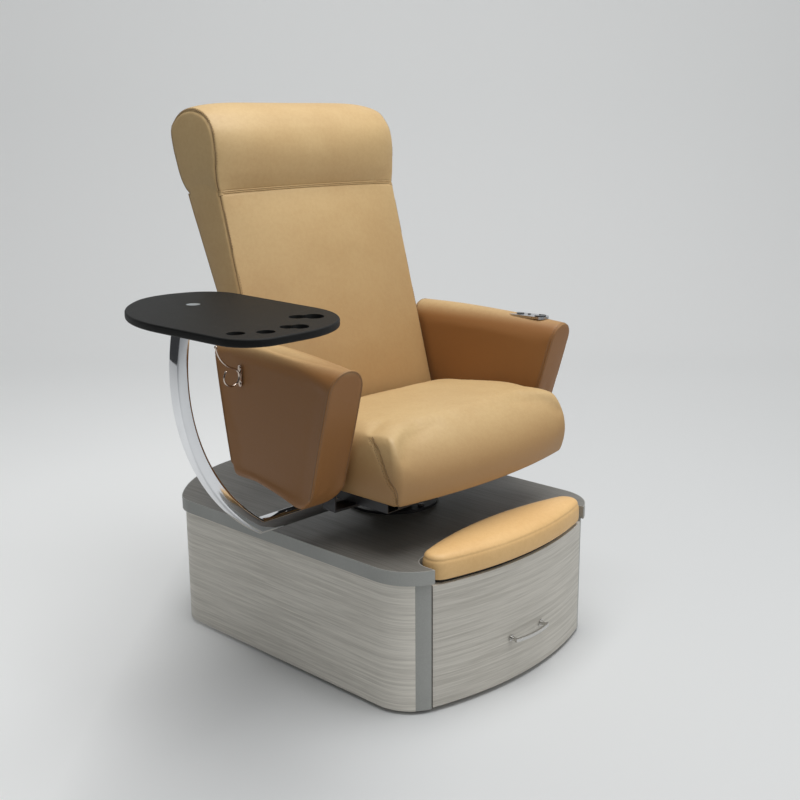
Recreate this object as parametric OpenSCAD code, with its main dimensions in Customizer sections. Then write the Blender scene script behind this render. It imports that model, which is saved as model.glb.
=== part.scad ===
// Pedicure spa chair: a swivelling, reclining chair on a laminated base with a footbath drawer.
// Origin: on the floor, under the axis of the seat's column. +Z up, the sitter faces -Y.

/* [Base] */
// Width of the base body
body_w = 780; // [740:5:820]
// Distance from the column's axis to the foremost point of the base body
front_y = 483; // [470:1:500]
// Distance from the column's axis to the rearmost point of the base body
rear_y = 648; // [620:1:680]
// Radius of the bowed front
front_r = 958; // [900:2:1040]
// Radius of the rounded back
rear_r = 490; // [470:2:520]
// Radius of the two front corners
corner_r = 121; // [110:1:130]
// Radius of the two back corners
rear_corner_r = 90; // [70:1:110]
// Height of the deck's top above the floor
deck_z = 383; // [370:1:400]
// Thickness of the deck board
deck_t = 36; // [30:1:40]
// How far the deck stands out over the body
deck_over = 9; // [4:1:14]
// Thickness of the band round the deck's edge
band_t = 2; // [1:0.5:3]
// Thickness of the bent side shells and of the drawer front
shell_t = 18; // [15:1:20]
// Height of the levelling feet, which is the dark gap over the floor
foot_h = 10; // [8:1:14]
// Width of a corner post along the curve, in degrees of the corner
post_angle = 20; // [16:1:24]
// Half width of the removable panel at the back
access_half_w = 200; // [150:5:240]

/* [Base frame] */
// Thickness of the base board and of the upright ribs
board_t = 18; // [15:1:22]
// Distance from the base's side to the inner face of each rib that carries a runner
rib_in = 97; // [90:1:105]
// Diameter of a levelling foot
foot_d = 40; // [30:1:50]
// Thickness of the low boards under the deck that stand behind the cross panel
brace_t = 18; // [15:1:22]

/* [Drawer] */
// Gap between the deck and the drawer front's top edge
drawer_reveal = 9; // [6:1:12]
// Gap round the drawer front
drawer_gap = 3; // [2:0.5:4]
// Thickness of the drawer's sides, back and subfront
box_t = 15; // [12:1:18]
// Height of the drawer box's sides
box_h = 190; // [170:5:215]
// Height of the drawer box over the base board
box_lift = 20; // [16:1:30]
// Thickness of the drawer's bottom
box_bottom_t = 9; // [6:1:12]
// Distance from the column's axis to the drawer box's back
box_rear_y = 20; // [15:1:40]
// How far the drawer pulls out
drawer_travel = 330; // [300:5:340]
// Height of the runners' middle line over the base board
runner_lift = 92; // [75:1:110]
// How much longer a runner is than the drawer's travel
runner_over = 46; // [30:1:48]
// Height of the runners' outer profile
runner_h = 45; // [40:1:50]
// Thickness of the runners' sheet
runner_t = 1.5; // [1.2:0.1:2]

/* [Footbath] */
// Gap between the basin's rim and each side of the drawer
basin_gap = 20; // [10:1:45]
// Length of the basin's rim front to back
basin_d = 290; // [270:5:300]
// Depth of the basin
basin_h = 165; // [140:5:180]
// Wall of the basin
basin_wall = 3; // [2.5:0.5:5]
// Corner radius of the basin
basin_r = 70; // [50:5:90]
// Width of the basin's rim
rim_w = 16; // [12:1:20]
// How far the basin's walls lean in from rim to floor
basin_lean = 24; // [14:1:30]

/* [Footrest] */
// Rearmost point of the footrest, from the column's axis
rest_rear_y = 330; // [325:1:345]
// Radius of the footrest's rear edge
rest_rear_r = 960; // [860:10:1000]
// Radius of the footrest's two ends
rest_end_r = 40; // [38:1:44]
// How far the footrest stands out over the drawer front
rest_proud = 5; // [0:1:8]
// Thickness of the footrest's upholstery
rest_t = 67; // [56:1:72]
// Thickness of the board under the footrest
rest_board_t = 8; // [6:1:9]
// Gap between the footrest and the deck's cut-out
rest_gap = 8; // [5:1:12]

/* [Drawer pull] */
// Distance between the pull's two screws
pull_cc = 128; // [96:32:160]
// Height of the pull above the floor
pull_z = 132; // [110:1:160]
// How far the pull stands out
pull_out = 30; // [25:1:36]
// Width of the pull's bar
pull_bar = 9; // [7:0.5:12]

/* [Column] */
// Diameter of the column's flange on the deck
flange_d = 260; // [230:5:300]
// Thickness of the column's flange
flange_t = 8; // [6:1:10]
// Outer diameter of the column's tube
column_d = 88.9; // [76.1:0.1:101.6]
// Outer diameter of the turning sleeve
sleeve_d = 114; // [108:1:127]
// Radial running clearance between the column and the sleeve
sleeve_play = 0.08; // [0.03:0.01:0.1]
// Height of the column over the deck
column_h = 84; // [78:1:84]
// Thickness of the thrust ring
thrust_t = 5; // [4:0.5:8]
// Pitch circle of the flange's bolts
flange_pcd = 220; // [190:5:240]
// Diameter of the flange's bolts
flange_bolt_d = 10; // [8:1:12]

/* [Seat] */
// Width of the seat cushion at its seams
seat_w = 680; // [660:2:690]
// Height of the seat cushion's underside over the deck
seat_lift = 139; // [134:1:146]
// Distance from the column's axis to the seat's lower front edge
seat_front = 340; // [330:1:350]
// Distance from the column's axis to the seat's rear end
seat_rear = 112; // [100:1:120]
// Thickness of the seat cushion at its front
seat_front_t = 178; // [160:1:184]
// Thickness of the seat cushion at its rear
seat_rear_t = 136; // [120:1:142]
// How far the seat's front bows out
seat_bow = 17; // [5:1:25]
// Height of the seat's crown
seat_crown = 6; // [2:1:12]
// Thickness of the seat board
seat_board_t = 15; // [12:1:18]
// How far the seat board stays inside the cushion's edge
seat_board_in = 54; // [20:1:60]
// Thickness of the swivel plate on the sleeve
plate_t = 8; // [6:1:10]
// Side of the square swivel plate
plate_w = 240; // [220:5:250]
// Height of the seat frame's tubes
tube_h = 25; // [20:1:30]
// Width of the seat frame's tubes
tube_w = 40; // [30:1:50]
// Wall of the seat frame's tubes
tube_wall = 2; // [1.5:0.5:3]

/* [Arms] */
// Thickness of an arm
arm_t = 98; // [90:1:104]
// Angle by which each arm opens towards the front
arm_splay = 4.5; // [3:0.5:5]
// Distance from the seat cushion's side to the arm's inner face at its front
arm_clear = 42; // [36:1:51]
// Distance from the column's axis to the arm's front at its top
arm_front_y = 278; // [268:1:288]
// Lean of the arm's front face, back towards the bottom
arm_front_lean = 0.29; // [0.2:0.01:0.35]
// Distance from the column's axis to the arm's rear at its top
arm_rear_y = 225; // [218:1:235]
// Lean of the arm's rear face, forward towards the bottom
arm_rear_lean = 0.20; // [0.1:0.01:0.25]
// Height of the arm's top at the front, over the seat's underside
arm_top_front_h = 346; // [330:1:358]
// Height of the arm's top at the rear, over the seat's underside
arm_top_rear_h = 371; // [355:1:383]
// How far the arm's front reaches below the seat's underside
arm_drop_front = 26; // [12:1:27]
// How far the arm's rear stays above the seat's underside
arm_rise_rear = 4; // [0:1:18]
// How far the arm's front rounds back at its lower end
arm_toe = 44; // [0:1:50]
// Radius of the lower inner corner at the arm's front
arm_inner_r = 46; // [12:1:50]

/* [Back] */
// Height of the backrest's lower end over the recline pivots
back_low_h = 50; // [46:1:60]
// Length of the back, upright, from its lower end to the head pillow's seam
back_h = 610; // [580:5:640]
// Height of the head pillow
pillow_h = 240; // [220:2:250]
// How far the backrest's side lies inside the seat cushion's side
back_in = 8; // [6:1:15]
// Distance from the column's axis to the back's front face at its lower end
back_low_y = 138; // [132:1:142]
// Distance from the column's axis to the back's front face at the seam
back_band_y = 304; // [295:1:312]
// Thickness of the backrest, front to rear, at its lower end
back_low_t = 58; // [52:1:70]
// Thickness of the backrest, front to rear, at the seam
back_band_t = 152; // [140:1:165]
// Thickness of the rear panel
rear_panel_t = 10; // [8:1:14]
// How far the back's face swells in its middle
back_crown = 20; // [8:1:28]
// How far the head pillow's face swells in its middle
pillow_crown = 26; // [10:1:34]

/* [Recline] */
// Distance from the column's axis to the recline pivots
pivot_y = 168; // [160:1:176]
// Height of the recline pivots over the seat's underside
pivot_h = 68; // [62:1:76]
// Diameter of the recline pivots' pins
pivot_d = 12; // [10:1:14]
// How far the recline pivots lie inside the seat cushion's sides
pivot_in = 40; // [34:1:50]
// Length of the lever that the actuator pulls
lever_l = 145; // [135:1:150]
// Angle of the lever behind the vertical at rest
lever_angle = 14; // [12:1:16]
// Sideways place of the actuator
actuator_x = 130; // [110:1:160]
// Stroke of the actuator from rest to full recline
actuator_stroke = 71; // [66:1:76]
// Distance from the actuator's tube to the lever's pin at full recline
rod_out = 75; // [70:1:80]
// Length of the rod that stays in the tube at full recline
rod_hold = 75; // [60:1:80]
// Diameter of the actuator's tube
actuator_d = 36; // [32:1:40]
// Diameter of the actuator's rod
rod_d = 16; // [14:1:18]

/* [Tray arm] */
// Height of the horizontal bar's top over the deck
bar_lift = 72; // [66:1:76]
// Height of the tube in the plane of the arm
arm_tube_h = 36; // [32:1:38]
// Width of the tube across the plane of the arm
arm_tube_w = 34; // [30:1:40]
// Wall of the tube
arm_tube_wall = 2.5; // [1.5:0.5:4]
// Corner radius of the tube
arm_tube_r = 7; // [4:1:10]
// Radius of the arm's long bend
bend_r = 507; // [495:1:520]
// Distance from the middle of the chair to the bend's centre
bend_x = 206; // [196:1:216]
// Height of the bend's centre over the bar's top
bend_h = 401; // [390:1:412]
// Height of the tube's upper end over the bend's centre
arm_end_h = 144; // [130:1:156]
// Distance from the middle of the chair to the tray's pivot
tray_pivot_x = 680; // [665:1:685]
// How far the tray's pivot lies in front of the plane of the arm
tray_pivot_off = 24; // [0:1:28]
// Diameter of the tray's pivot pin
tray_pin_d = 12; // [10:1:14]

// Thickness of the pivot plate on the tube's upper end
pivot_plate_t = 8; // [6:1:12]
// Thickness of the shoulder between the pivot plate and the tray
shoulder_t = 5; // [3:1:8]

/* [Tray] */
// Thickness of the tray
tray_t = 17; // [14:1:20]
// Depth of the tray's pockets
pocket_h = 11; // [8:0.5:12]
// Diameter of the two round pockets
pocket_d = 39; // [34:1:44]
// Diameter of the pivot's cover disc
disc_d = 32; // [28:1:44]
// Radius of the tray's rounded edge
tray_edge = 4; // [2:0.5:5]

/* [Control] */
// Length of the control's bezel
bezel_l = 126; // [110:1:134]
// Width of the control's bezel
bezel_w = 46; // [40:1:50]
// Thickness of the control's bezel
bezel_t = 7; // [6:0.5:9]
// Depth of the control's housing in the arm
housing_h = 26; // [20:1:30]
// Travel of the buttons
button_travel = 1.5; // [1:0.1:2]
// Distance from the column's axis to the middle of the control
control_y = 156; // [150:1:165]

/* [Hook] */
// Thickness of the hook's wire
wire_d = 5; // [4:0.5:6]
// Radius of the hook's lower loop
loop_r = 23; // [18:0.5:28]
// Radius of the hook's upper prong
prong_r = 74; // [60:1:85]
// Distance of the hook behind the column's axis
hook_y = 97; // [85:1:110]
// Height of the hook's base over the seat's underside
hook_h = 284; // [265:1:300]

/* [Power] */
// Width of the power supply
supply_w = 140; // [120:2:160]
// Length of the power supply
supply_l = 110; // [100:2:130]
// Height of the power supply's top over the base board
supply_h = 62; // [50:1:70]

/* [Hidden] */

$fn = 48;
eps = 0.01;
seat_in = 0.3;      // gap between pieces that seat on each other
glue = 0.05;        // gap between glued faces
arc_step = 1.25;    // step of the curved panels in degrees

// Heights above the floor
board_top = foot_h + board_t;
deck_low = deck_z - deck_t;
drawer_top = deck_low - drawer_reveal;
box_z = board_top + box_lift;
runner_z = board_top + runner_lift;
seat_z = deck_z + seat_lift;
arm_top_front = seat_z + arm_top_front_h;
arm_top_rear = seat_z + arm_top_rear_h;
arm_low_front = seat_z - arm_drop_front;
arm_low_rear = seat_z + arm_rise_rear;
pivot_z = seat_z + pivot_h;
back_low_z = pivot_z + back_low_h;
band_z = back_low_z + back_h;
bar_top = deck_z + bar_lift;
bend_z = bar_top + bend_h;
arm_end_z = bend_z + arm_end_h;
tray_low = arm_end_z + pivot_plate_t + shoulder_t;
hook_z = seat_z + hook_h;

body_x = body_w / 2;
arm_front_x = seat_w / 2 + arm_clear + arm_t / 2;
back_half_w = seat_w / 2 - back_in;
pivot_x = seat_w / 2 - pivot_in;
front_cy = front_r - front_y;
rear_cy = rear_y - rear_r;
fx = body_x - corner_r;
fy = front_cy - sqrt(pow(front_r - corner_r, 2) - fx * fx);
f_tan = atan2(fx, front_cy - fy);
rx = body_x - rear_corner_r;
ry = rear_cy + sqrt(pow(rear_r - rear_corner_r, 2) - rx * rx);
r_tan = atan2(rx, ry - rear_cy);
post_a = f_tan + 3;
post_b = post_a + post_angle;

// ---------------------------------------------------------------- outlines

// Points of an arc round [x, y] from angle a to angle b, in steps of about s degrees
function arc(x, y, r, a, b, s = arc_step) =
    let (k = max(2, ceil(abs(b - a) / s)))
    [for (i = [0:k]) [x + r * cos(a + (b - a) * i / k), y + r * sin(a + (b - a) * i / k)]];

// The right half and then the left half of a shape given by its right half
function both_sides(half) =
    concat(half, [for (i = [len(half) - 1:-1:0]) [-half[i][0], half[i][1]]]);

// The base's plan outline, moved inwards by d
function outline(d) = both_sides(concat(
    arc(0, front_cy, front_r - d, -90 + 0.3, -90 + f_tan),
    arc(fx, fy, corner_r - d, -90 + f_tan + 0.6, -0.6),
    arc(rx, ry, rear_corner_r - d, 0, 90 - r_tan),
    arc(0, rear_cy, rear_r - d, 90 - r_tan + 0.8, 90 - 0.4)));

// Rectangle from y0 to y1 with half width hx, front corners r0 and rear corners r1, with
// points along its sides
function soft_rect(hx, y0, y1, r0, r1, nx = 8, ny = 4) = concat(
    [for (i = [0:nx]) [(hx - r0) * (2 * i / nx - 1), y0]],
    [for (a = [30, 60]) [hx - r0 + r0 * sin(a), y0 + r0 - r0 * cos(a)]],
    [for (i = [0:ny]) [hx, y0 + r0 + (y1 - r1 - y0 - r0) * i / ny]],
    [for (a = [30, 60]) [hx - r1 + r1 * cos(a), y1 - r1 + r1 * sin(a)]],
    [for (i = [0:nx]) [(hx - r1) * (1 - 2 * i / nx), y1]],
    [for (a = [30, 60]) [r1 - hx - r1 * sin(a), y1 - r1 + r1 * cos(a)]],
    [for (i = [0:ny]) [-hx, y1 - r1 - (y1 - r1 - y0 - r0) * i / ny]],
    [for (a = [30, 60]) [r0 - hx - r0 * cos(a), y0 + r0 - r0 * sin(a)]]);

// A polygon whose corners [x, y, radius] are rounded, moved inwards by d
function rounded(c, s = 6, d = 0) = [for (i = [0:len(c) - 1])
    let (n = len(c), p = c[i], u = c[(i + n - 1) % n], v = c[(i + 1) % n],
         a1 = atan2(u[1] - p[1], u[0] - p[0]), a2 = atan2(v[1] - p[1], v[0] - p[0]),
         turn = (a1 - a2 + 720) % 360, m = a2 + turn / 2, q = p[2] / sin(turn / 2),
         cx = p[0] + q * cos(m), cy = p[1] + q * sin(m), b0 = a1 + 90, sweep = 180 - turn)
    each arc(cx, cy, p[2] - d, b0, b0 + sweep, s)];

// The footrest's plan outline, moved inwards by d: two large arcs with round ends
rest_r1 = front_r + rest_proud;
rest_cy2 = -rest_rear_y - rest_rear_r;
rest_span = front_cy - rest_cy2;
rest_a = (pow(rest_r1 - rest_end_r, 2) - pow(rest_rear_r - rest_end_r, 2) + rest_span * rest_span)
    / (2 * rest_span);
rest_ey = front_cy - rest_a;
rest_ex = sqrt(pow(rest_r1 - rest_end_r, 2) - rest_a * rest_a);
rest_t1 = atan2(rest_ex, rest_a);
rest_t2 = atan2(rest_ex, rest_ey - rest_cy2);
function rest_outline(d, big = 2, small = 12) = both_sides(concat(
    arc(0, front_cy, rest_r1 - d, -90 + big / 2, -90 + rest_t1, big),
    arc(rest_ex, rest_ey, rest_end_r - d, -90 + rest_t1 + small / 2, 90 - rest_t2 - small / 2, small),
    arc(0, rest_cy2, rest_rear_r - d, 90 - rest_t2, 90 - big / 2, big)));

// ---------------------------------------------------------------- general shapes

// Closed skin over a list of rings with the same number of points, capped at both ends
module loft(rings) {
    n = len(rings[0]);
    m = len(rings);
    mid = [for (r = [rings[0], rings[m - 1]]) [for (k = [0:2]) (max([for (p = r) p[k]])
        + min([for (p = r) p[k]])) / 2]];
    points = concat([for (r = rings) each r], mid);
    faces = concat(
        [for (i = [0:m - 2], j = [0:n - 1]) let (a = i * n + j, b = i * n + (j + 1) % n)
            each [[a, b + n, b], [a, a + n, b + n]]],
        [for (j = [0:n - 1]) [j, (j + 1) % n, n * m]],
        [for (j = [0:n - 1]) [(m - 1) * n + (j + 1) % n, (m - 1) * n + j, n * m + 1]]);
    polyhedron(points = points, faces = faces, convexity = 6);
}

// Box from its lowest to its highest corner
module box(a, b) {
    translate(a) cube(b - a);
}

// Rectangular tube along X, open at both ends
module tube_x(l, w, h, t) {
    difference() {
        box([0, -w / 2, 0], [l, w / 2, h]);
        box([-1, -w / 2 + t, t], [l + 1, w / 2 - t, h - t]);
    }
}

module mirror_x() {
    children();
    mirror([1, 0, 0]) children();
}

// A ring of the base's wall between two insets
module wall(d0, d1, z0, z1) {
    translate([0, 0, z0]) linear_extrude(z1 - z0) difference() {
        polygon(outline(d0));
        polygon(outline(d1));
    }
}

// Everything in front of the two rays from the corner centres at angle a
module front_zone(a, z0, z1) {
    far = 3 * corner_r;
    translate([0, 0, z0]) linear_extrude(z1 - z0)
        polygon(both_sides([[0, -front_y - far], [fx + far * sin(a), -front_y - far],
            [fx + far * sin(a), fy - far * cos(a)], [fx, fy], [fx - 40, fy]]));
}

// ---------------------------------------------------------------- base

shell_low = foot_h;
shell_high = deck_low - seat_in;
rib_x = body_x - rib_in;
cross_y = -box_rear_y + 14;
rib_front = fy - (corner_r - shell_t) * cos(post_a) + 8;
board_inset = shell_t + seat_in;

foot_spots = [[250, -330], [330, 0], [330, 300], [150, 520]];

module levelling_foot() {
    cylinder(d = foot_d, h = foot_h - 3);
    cylinder(d = foot_d - 10, h = foot_h - seat_in);
}

// A foot under the column and one at each spot on both sides
module levelling_feet() {
    color([0.08, 0.08, 0.08]) {
        levelling_foot();
        mirror_x() for (p = foot_spots) translate(p) levelling_foot();
    }
}

module base_board() {
    color([0.55, 0.46, 0.36]) translate([0, 0, foot_h]) linear_extrude(board_t)
        polygon(outline(board_inset));
}

module side_shell() {
    difference() {
        wall(0, shell_t, shell_low, shell_high);
        box([-body_w, -2 * front_y, 0], [0, 2 * rear_y, deck_z]);
        front_zone(post_b, 0, deck_z);
        box([-1, 0, 0], [access_half_w, 2 * rear_y, deck_z]);
    }
}

module shell_right() {
    color([0.60, 0.58, 0.54]) side_shell();
}

module shell_left() {
    color([0.60, 0.58, 0.54]) mirror([1, 0, 0]) side_shell();
}

inlet_z = 90;
inlet_w = 48;
inlet_h = 28;
access_gap = 1.5;
batten_w = 30;
screw_x = access_half_w - 14;
screw_spots = [for (s = [-1, 1], k = [0.1, 0.5, 0.9])
    [s * screw_x, shell_low + k * (shell_high - shell_low)]];

// A countersunk screw from the rear face of the base at [x, z]
module rear_screw(p, grow = 0) {
    y = rear_cy + sqrt(pow(rear_r, 2) - p[0] * p[0]);
    translate([p[0], y + 2, p[1]]) rotate([90, 0, 0]) {
        cylinder(d = 4 + 2 * grow, h = shell_t + 14);
        cylinder(d = 10 + 2 * grow, h = 7);
    }
}

module rear_access_panel() {
    w = access_half_w - access_gap;
    color([0.60, 0.58, 0.54]) difference() {
        intersection() {
            wall(0, shell_t, shell_low, shell_high);
            box([-w, 0, 0], [w, 2 * rear_y, deck_z]);
        }
        box([-inlet_w / 2 - seat_in, rear_y - 80, inlet_z - inlet_h / 2 - seat_in],
            [inlet_w / 2 + seat_in, rear_y + 1, inlet_z + inlet_h / 2 + seat_in]);
        for (p = screw_spots) rear_screw(p, seat_in);
    }
}

module access_panel_screws() {
    color([0.7, 0.7, 0.7]) for (p = screw_spots) intersection() {
        rear_screw(p);
        translate([0, 0, 1]) linear_extrude(deck_z) polygon(outline(0.5));
    }
}

module panel_battens() {
    color([0.62, 0.52, 0.40]) difference() {
        intersection() {
            wall(shell_t + seat_in, shell_t + batten_w * 0.6, board_top, shell_high);
            mirror_x() box([access_half_w - batten_w, 0, 0], [access_half_w + batten_w, 2 * rear_y, deck_z]);
        }
        for (p = screw_spots) rear_screw(p, glue);
    }
}

module corner_post() {
    difference() {
        intersection() {
            wall(1, shell_t, shell_low, shell_high);
            front_zone(post_b - 0.2, 0, deck_z);
            box([0, -2 * front_y, 0], [body_w, fy, deck_z]);
        }
        front_zone(post_a + 0.2, -1, deck_z);
    }
}

module corner_post_right() {
    color([0.47, 0.48, 0.47]) corner_post();
}

module corner_post_left() {
    color([0.47, 0.48, 0.47]) mirror([1, 0, 0]) corner_post();
}

// The deck's cut-out, open to the front so that the footrest can slide out
module notch(grow) {
    w = rest_ex + rest_end_r + grow;
    polygon(rest_outline(-grow, 1, 5));
    polygon([[-w, rest_ey], [w, rest_ey], [w, -2 * front_y], [-w, -2 * front_y]]);
}

module deck_board() {
    color([0.55, 0.53, 0.50]) difference() {
        translate([0, 0, deck_low]) linear_extrude(deck_t) polygon(outline(band_t - deck_over + glue));
        translate([0, 0, deck_low - 1]) linear_extrude(deck_t + 2) notch(rest_gap + band_t + glue);
        for (p = flange_spots) translate([p[0], p[1], deck_low - 1])
            cylinder(d = flange_bolt_d + 2 * seat_in, h = deck_t + 2);
    }
}

// The band follows the deck's outer edge and the cut-out's edge
module deck_edge_band() {
    color([0.52, 0.53, 0.54]) translate([0, 0, deck_low]) linear_extrude(deck_t)
        difference() {
            polygon(outline(-deck_over));
            difference() {
                polygon(outline(band_t - deck_over));
                notch(rest_gap + band_t);
            }
            notch(rest_gap);
        }
}

module runner_rib() {
    translate([0, 0, board_top]) linear_extrude(deck_low - seat_in - board_top)
        polygon([[rib_x, rib_front], [rib_x + board_t, rib_front],
                 [rib_x + board_t, cross_y + 60], [rib_x, cross_y + 60]]);
}

module runner_rib_right() {
    color([0.62, 0.52, 0.40]) runner_rib();
}

module runner_rib_left() {
    color([0.62, 0.52, 0.40]) mirror([1, 0, 0]) runner_rib();
}

module cross_panel() {
    x = rib_x - seat_in;
    color([0.62, 0.52, 0.40]) box([-x, cross_y, board_top], [x, cross_y + board_t, deck_low - seat_in]);
}

brace_x = 150;

module rear_braces() {
    y0 = cross_y + board_t + seat_in;
    color([0.62, 0.52, 0.40]) mirror_x() translate([0, 0, board_top])
        linear_extrude(deck_low - seat_in - board_top) intersection() {
            polygon(outline(board_inset));
            polygon([[brace_x, y0], [brace_x + brace_t, y0], [brace_x + brace_t, rear_y], [brace_x, rear_y]]);
        }
}

// ---------------------------------------------------------------- runners

runner_y = rib_front + 2;
runner_l = drawer_travel + runner_over;
box_w = 2 * (rib_x - 13);
basin_w = box_w - 2 * (box_t + basin_gap);

// A C-shaped runner profile that opens towards -X, with its back at x = 0
module runner(h, depth) {
    difference() {
        box([-depth, runner_y, runner_z - h / 2], [0, runner_y + runner_l, runner_z + h / 2]);
        box([-depth - 1, runner_y - 1, runner_z - h / 2 + runner_t],
            [-runner_t, runner_y + runner_l + 1, runner_z + h / 2 - runner_t]);
    }
}

module outer_runners() {
    color([0.75, 0.76, 0.78]) mirror_x() translate([rib_x - seat_in, 0, 0]) runner(runner_h, 10);
}

module middle_runners() {
    color([0.68, 0.69, 0.71]) mirror_x() translate([rib_x - seat_in - runner_t - 0.4, 0, 0])
        runner(runner_h - 2 * runner_t - 0.8, 8);
}

module inner_runners() {
    h = runner_h - 4 * runner_t - 1.6;
    back = rib_x - seat_in - 2 * (runner_t + 0.4);
    color([0.75, 0.76, 0.78]) mirror_x()
        box([box_w / 2 + seat_in, runner_y, runner_z - h / 2], [back, runner_y + runner_l, runner_z + h / 2]);
}

// ---------------------------------------------------------------- drawer

front_low = foot_h + 4;
drawer_a = post_a - drawer_gap / corner_r * 180 / PI;

module drawer_front() {
    color([0.60, 0.58, 0.54]) difference() {
        intersection() {
            wall(0, shell_t, front_low, drawer_top);
            front_zone(drawer_a, 0, deck_z);
        }
        for (s = [-1, 1]) translate([s * pull_cc / 2, -front_y, pull_z]) rotate([-90, 0, 0])
            translate([0, 0, -30]) cylinder(d = 4.6, h = 60);
    }
}

module drawer_box() {
    y1 = -box_rear_y;
    x1 = box_w / 2;
    z1 = box_z + box_h;
    color([0.78, 0.70, 0.58]) difference() {
        translate([0, 0, box_z]) linear_extrude(box_h) intersection() {
            polygon(outline(shell_t + seat_in));
            polygon([[-x1, -2 * front_y], [x1, -2 * front_y], [x1, y1], [-x1, y1]]);
        }
        translate([0, 0, box_z + box_bottom_t]) linear_extrude(box_h) intersection() {
            polygon(outline(shell_t + seat_in + box_t));
            polygon([[-x1 + box_t, -2 * front_y], [x1 - box_t, -2 * front_y],
                     [x1 - box_t, y1 - box_t], [-x1 + box_t, y1 - box_t]]);
        }
        for (s = [-1, 1]) translate([s * pull_cc / 2, -front_y, pull_z]) rotate([-90, 0, 0])
            cylinder(d = 9, h = shell_t + box_t + 8);
    }
}

basin_y0 = -box_rear_y - box_t - 6 - basin_d;
basin_z = box_z + box_bottom_t + seat_in;

// Outline of the basin, moved inwards by d
function basin_outline(d) =
    let (x = basin_w / 2 - d, y0 = basin_y0 + d, y1 = basin_y0 + basin_d - d, r = basin_r - d)
    rounded([[x, y0, r], [x, y1, r], [-x, y1, r], [-x, y0, r]], 7.5);

function lift(p, z) = [for (q = p) [q[0], q[1], z]];

// The basin's tapered tub down to the given floor, with its outside moved inwards by d
module tub(d, z0, z1) {
    loft([lift(basin_outline(d + rim_w + basin_lean + 8), z0),
          lift(basin_outline(d + rim_w + basin_lean), z0 + 8),
          lift(basin_outline(d + rim_w), z1)]);
}

module foot_basin() {
    top = basin_z + basin_h;
    color([0.93, 0.93, 0.92]) difference() {
        union() {
            tub(0, basin_z, top);
            translate([0, 0, top - 5]) linear_extrude(5) polygon(basin_outline(0));
        }
        tub(basin_wall, basin_z + basin_wall, top + eps);
    }
}

pull_foot_y = front_cy - sqrt(pow(front_r, 2) - pow(pull_cc / 2, 2));
pull_sag = 8;
pull_r = (pull_cc * pull_cc / 4 + pull_sag * pull_sag) / (2 * pull_sag);

module drawer_pull() {
    color([0.74, 0.74, 0.73]) {
        mirror_x() translate([pull_cc / 2, pull_foot_y - 0.9, pull_z]) rotate([90, 0, 0]) difference() {
            union() {
                cylinder(d = 17, h = 2.5);
                cylinder(d1 = 14, d2 = pull_bar, h = 11);
                cylinder(d = pull_bar, h = pull_out - pull_sag);
            }
            translate([0, 0, -1]) cylinder(d = 4, h = 12);
        }
        translate([0, pull_foot_y - 0.9 - pull_out + pull_r, pull_z - pull_bar / 2]) difference() {
            cylinder(r = pull_r + 3, h = pull_bar, $fn = 180);
            translate([0, 0, -1]) cylinder(r = pull_r - 3, h = pull_bar + 2, $fn = 180);
            pull_cut(pull_r);
        }
    }
}

// Cuts the pull's ring down to the stretch between its feet
module pull_cut(r) {
    w = pull_cc / 2 + 6;
    y = -sqrt(r * r - w * w);
    box([-2 * r, y + 6, -2], [2 * r, 2 * r, pull_bar + 4]);
    mirror_x() box([w, -2 * r, -2], [2 * r, 2 * r, pull_bar + 4]);
}

module pull_screws() {
    color([0.7, 0.7, 0.7]) mirror_x() translate([pull_cc / 2, pull_foot_y, pull_z]) rotate([-90, 0, 0]) {
        translate([0, 0, -9]) cylinder(d = 3.9, h = shell_t + 9);
        translate([0, 0, shell_t + 1]) cylinder(d = 8, h = 3);
        translate([0, 0, shell_t - 1]) cylinder(d = 4, h = 3);
    }
}

// ---------------------------------------------------------------- footrest

rest_board_z = drawer_top + 1;
rest_z = rest_board_z + rest_board_t + seat_in;
bracket_w = 60;
bracket_d = 40;
bracket_t = 4;

module footrest_brackets() {
    x = box_w / 2 - box_t - seat_in;
    y = front_cy - sqrt(pow(front_r - shell_t - box_t, 2) - x * x) + 8;
    z = rest_board_z - seat_in;
    color([0.6, 0.6, 0.62]) mirror_x() {
        box([x - bracket_t, y, box_z + box_h - 70], [x, y + bracket_d, z]);
        box([x - bracket_w, y, z - bracket_t], [x, y + bracket_d, z]);
    }
}

module footrest_board() {
    color([0.12, 0.11, 0.10]) translate([0, 0, rest_board_z]) linear_extrude(rest_board_t)
        polygon(rest_outline(14, 2, 12));
}

module footrest_pad() {
    rows = [[9, 0], [3, 3], [0, 12], [0, 0.6 * rest_t], [3, 0.78 * rest_t], [11, 0.92 * rest_t],
            [24, 0.98 * rest_t], [37, rest_t]];
    color([0.80, 0.66, 0.47]) loft([for (r = rows) lift(rest_outline(r[0], 3, 15), rest_z + r[1])]);
}

// ---------------------------------------------------------------- column and seat frame

column_top = deck_z + column_h;
flange_spots = [for (i = [0:5]) flange_pcd / 2 * [cos(60 * i + 30), sin(60 * i + 30)]];
thrust_z = deck_z + flange_t + seat_in;
sleeve_low = thrust_z + thrust_t + seat_in;
frame_top = seat_z - seat_board_t;
frame_z = frame_top - tube_h;
plate_z = frame_z - plate_t;
frame_x = pivot_x;
frame_front = -250;
frame_rear = 85;
frame_mid = -158;       // the cross tube that holds the actuator's front end

module column_flange() {
    color([0.15, 0.15, 0.16]) difference() {
        union() {
            translate([0, 0, deck_z + seat_in]) cylinder(d = flange_d, h = flange_t - seat_in);
            translate([0, 0, deck_z + seat_in]) cylinder(d = column_d, h = column_h - seat_in);
        }
        translate([0, 0, deck_z - 1]) cylinder(d = column_d - 10, h = column_h + 2);
        for (p = flange_spots) translate([p[0], p[1], deck_z - 1])
            cylinder(d = flange_bolt_d + 2 * seat_in, h = flange_t + 2);
    }
}

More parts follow.
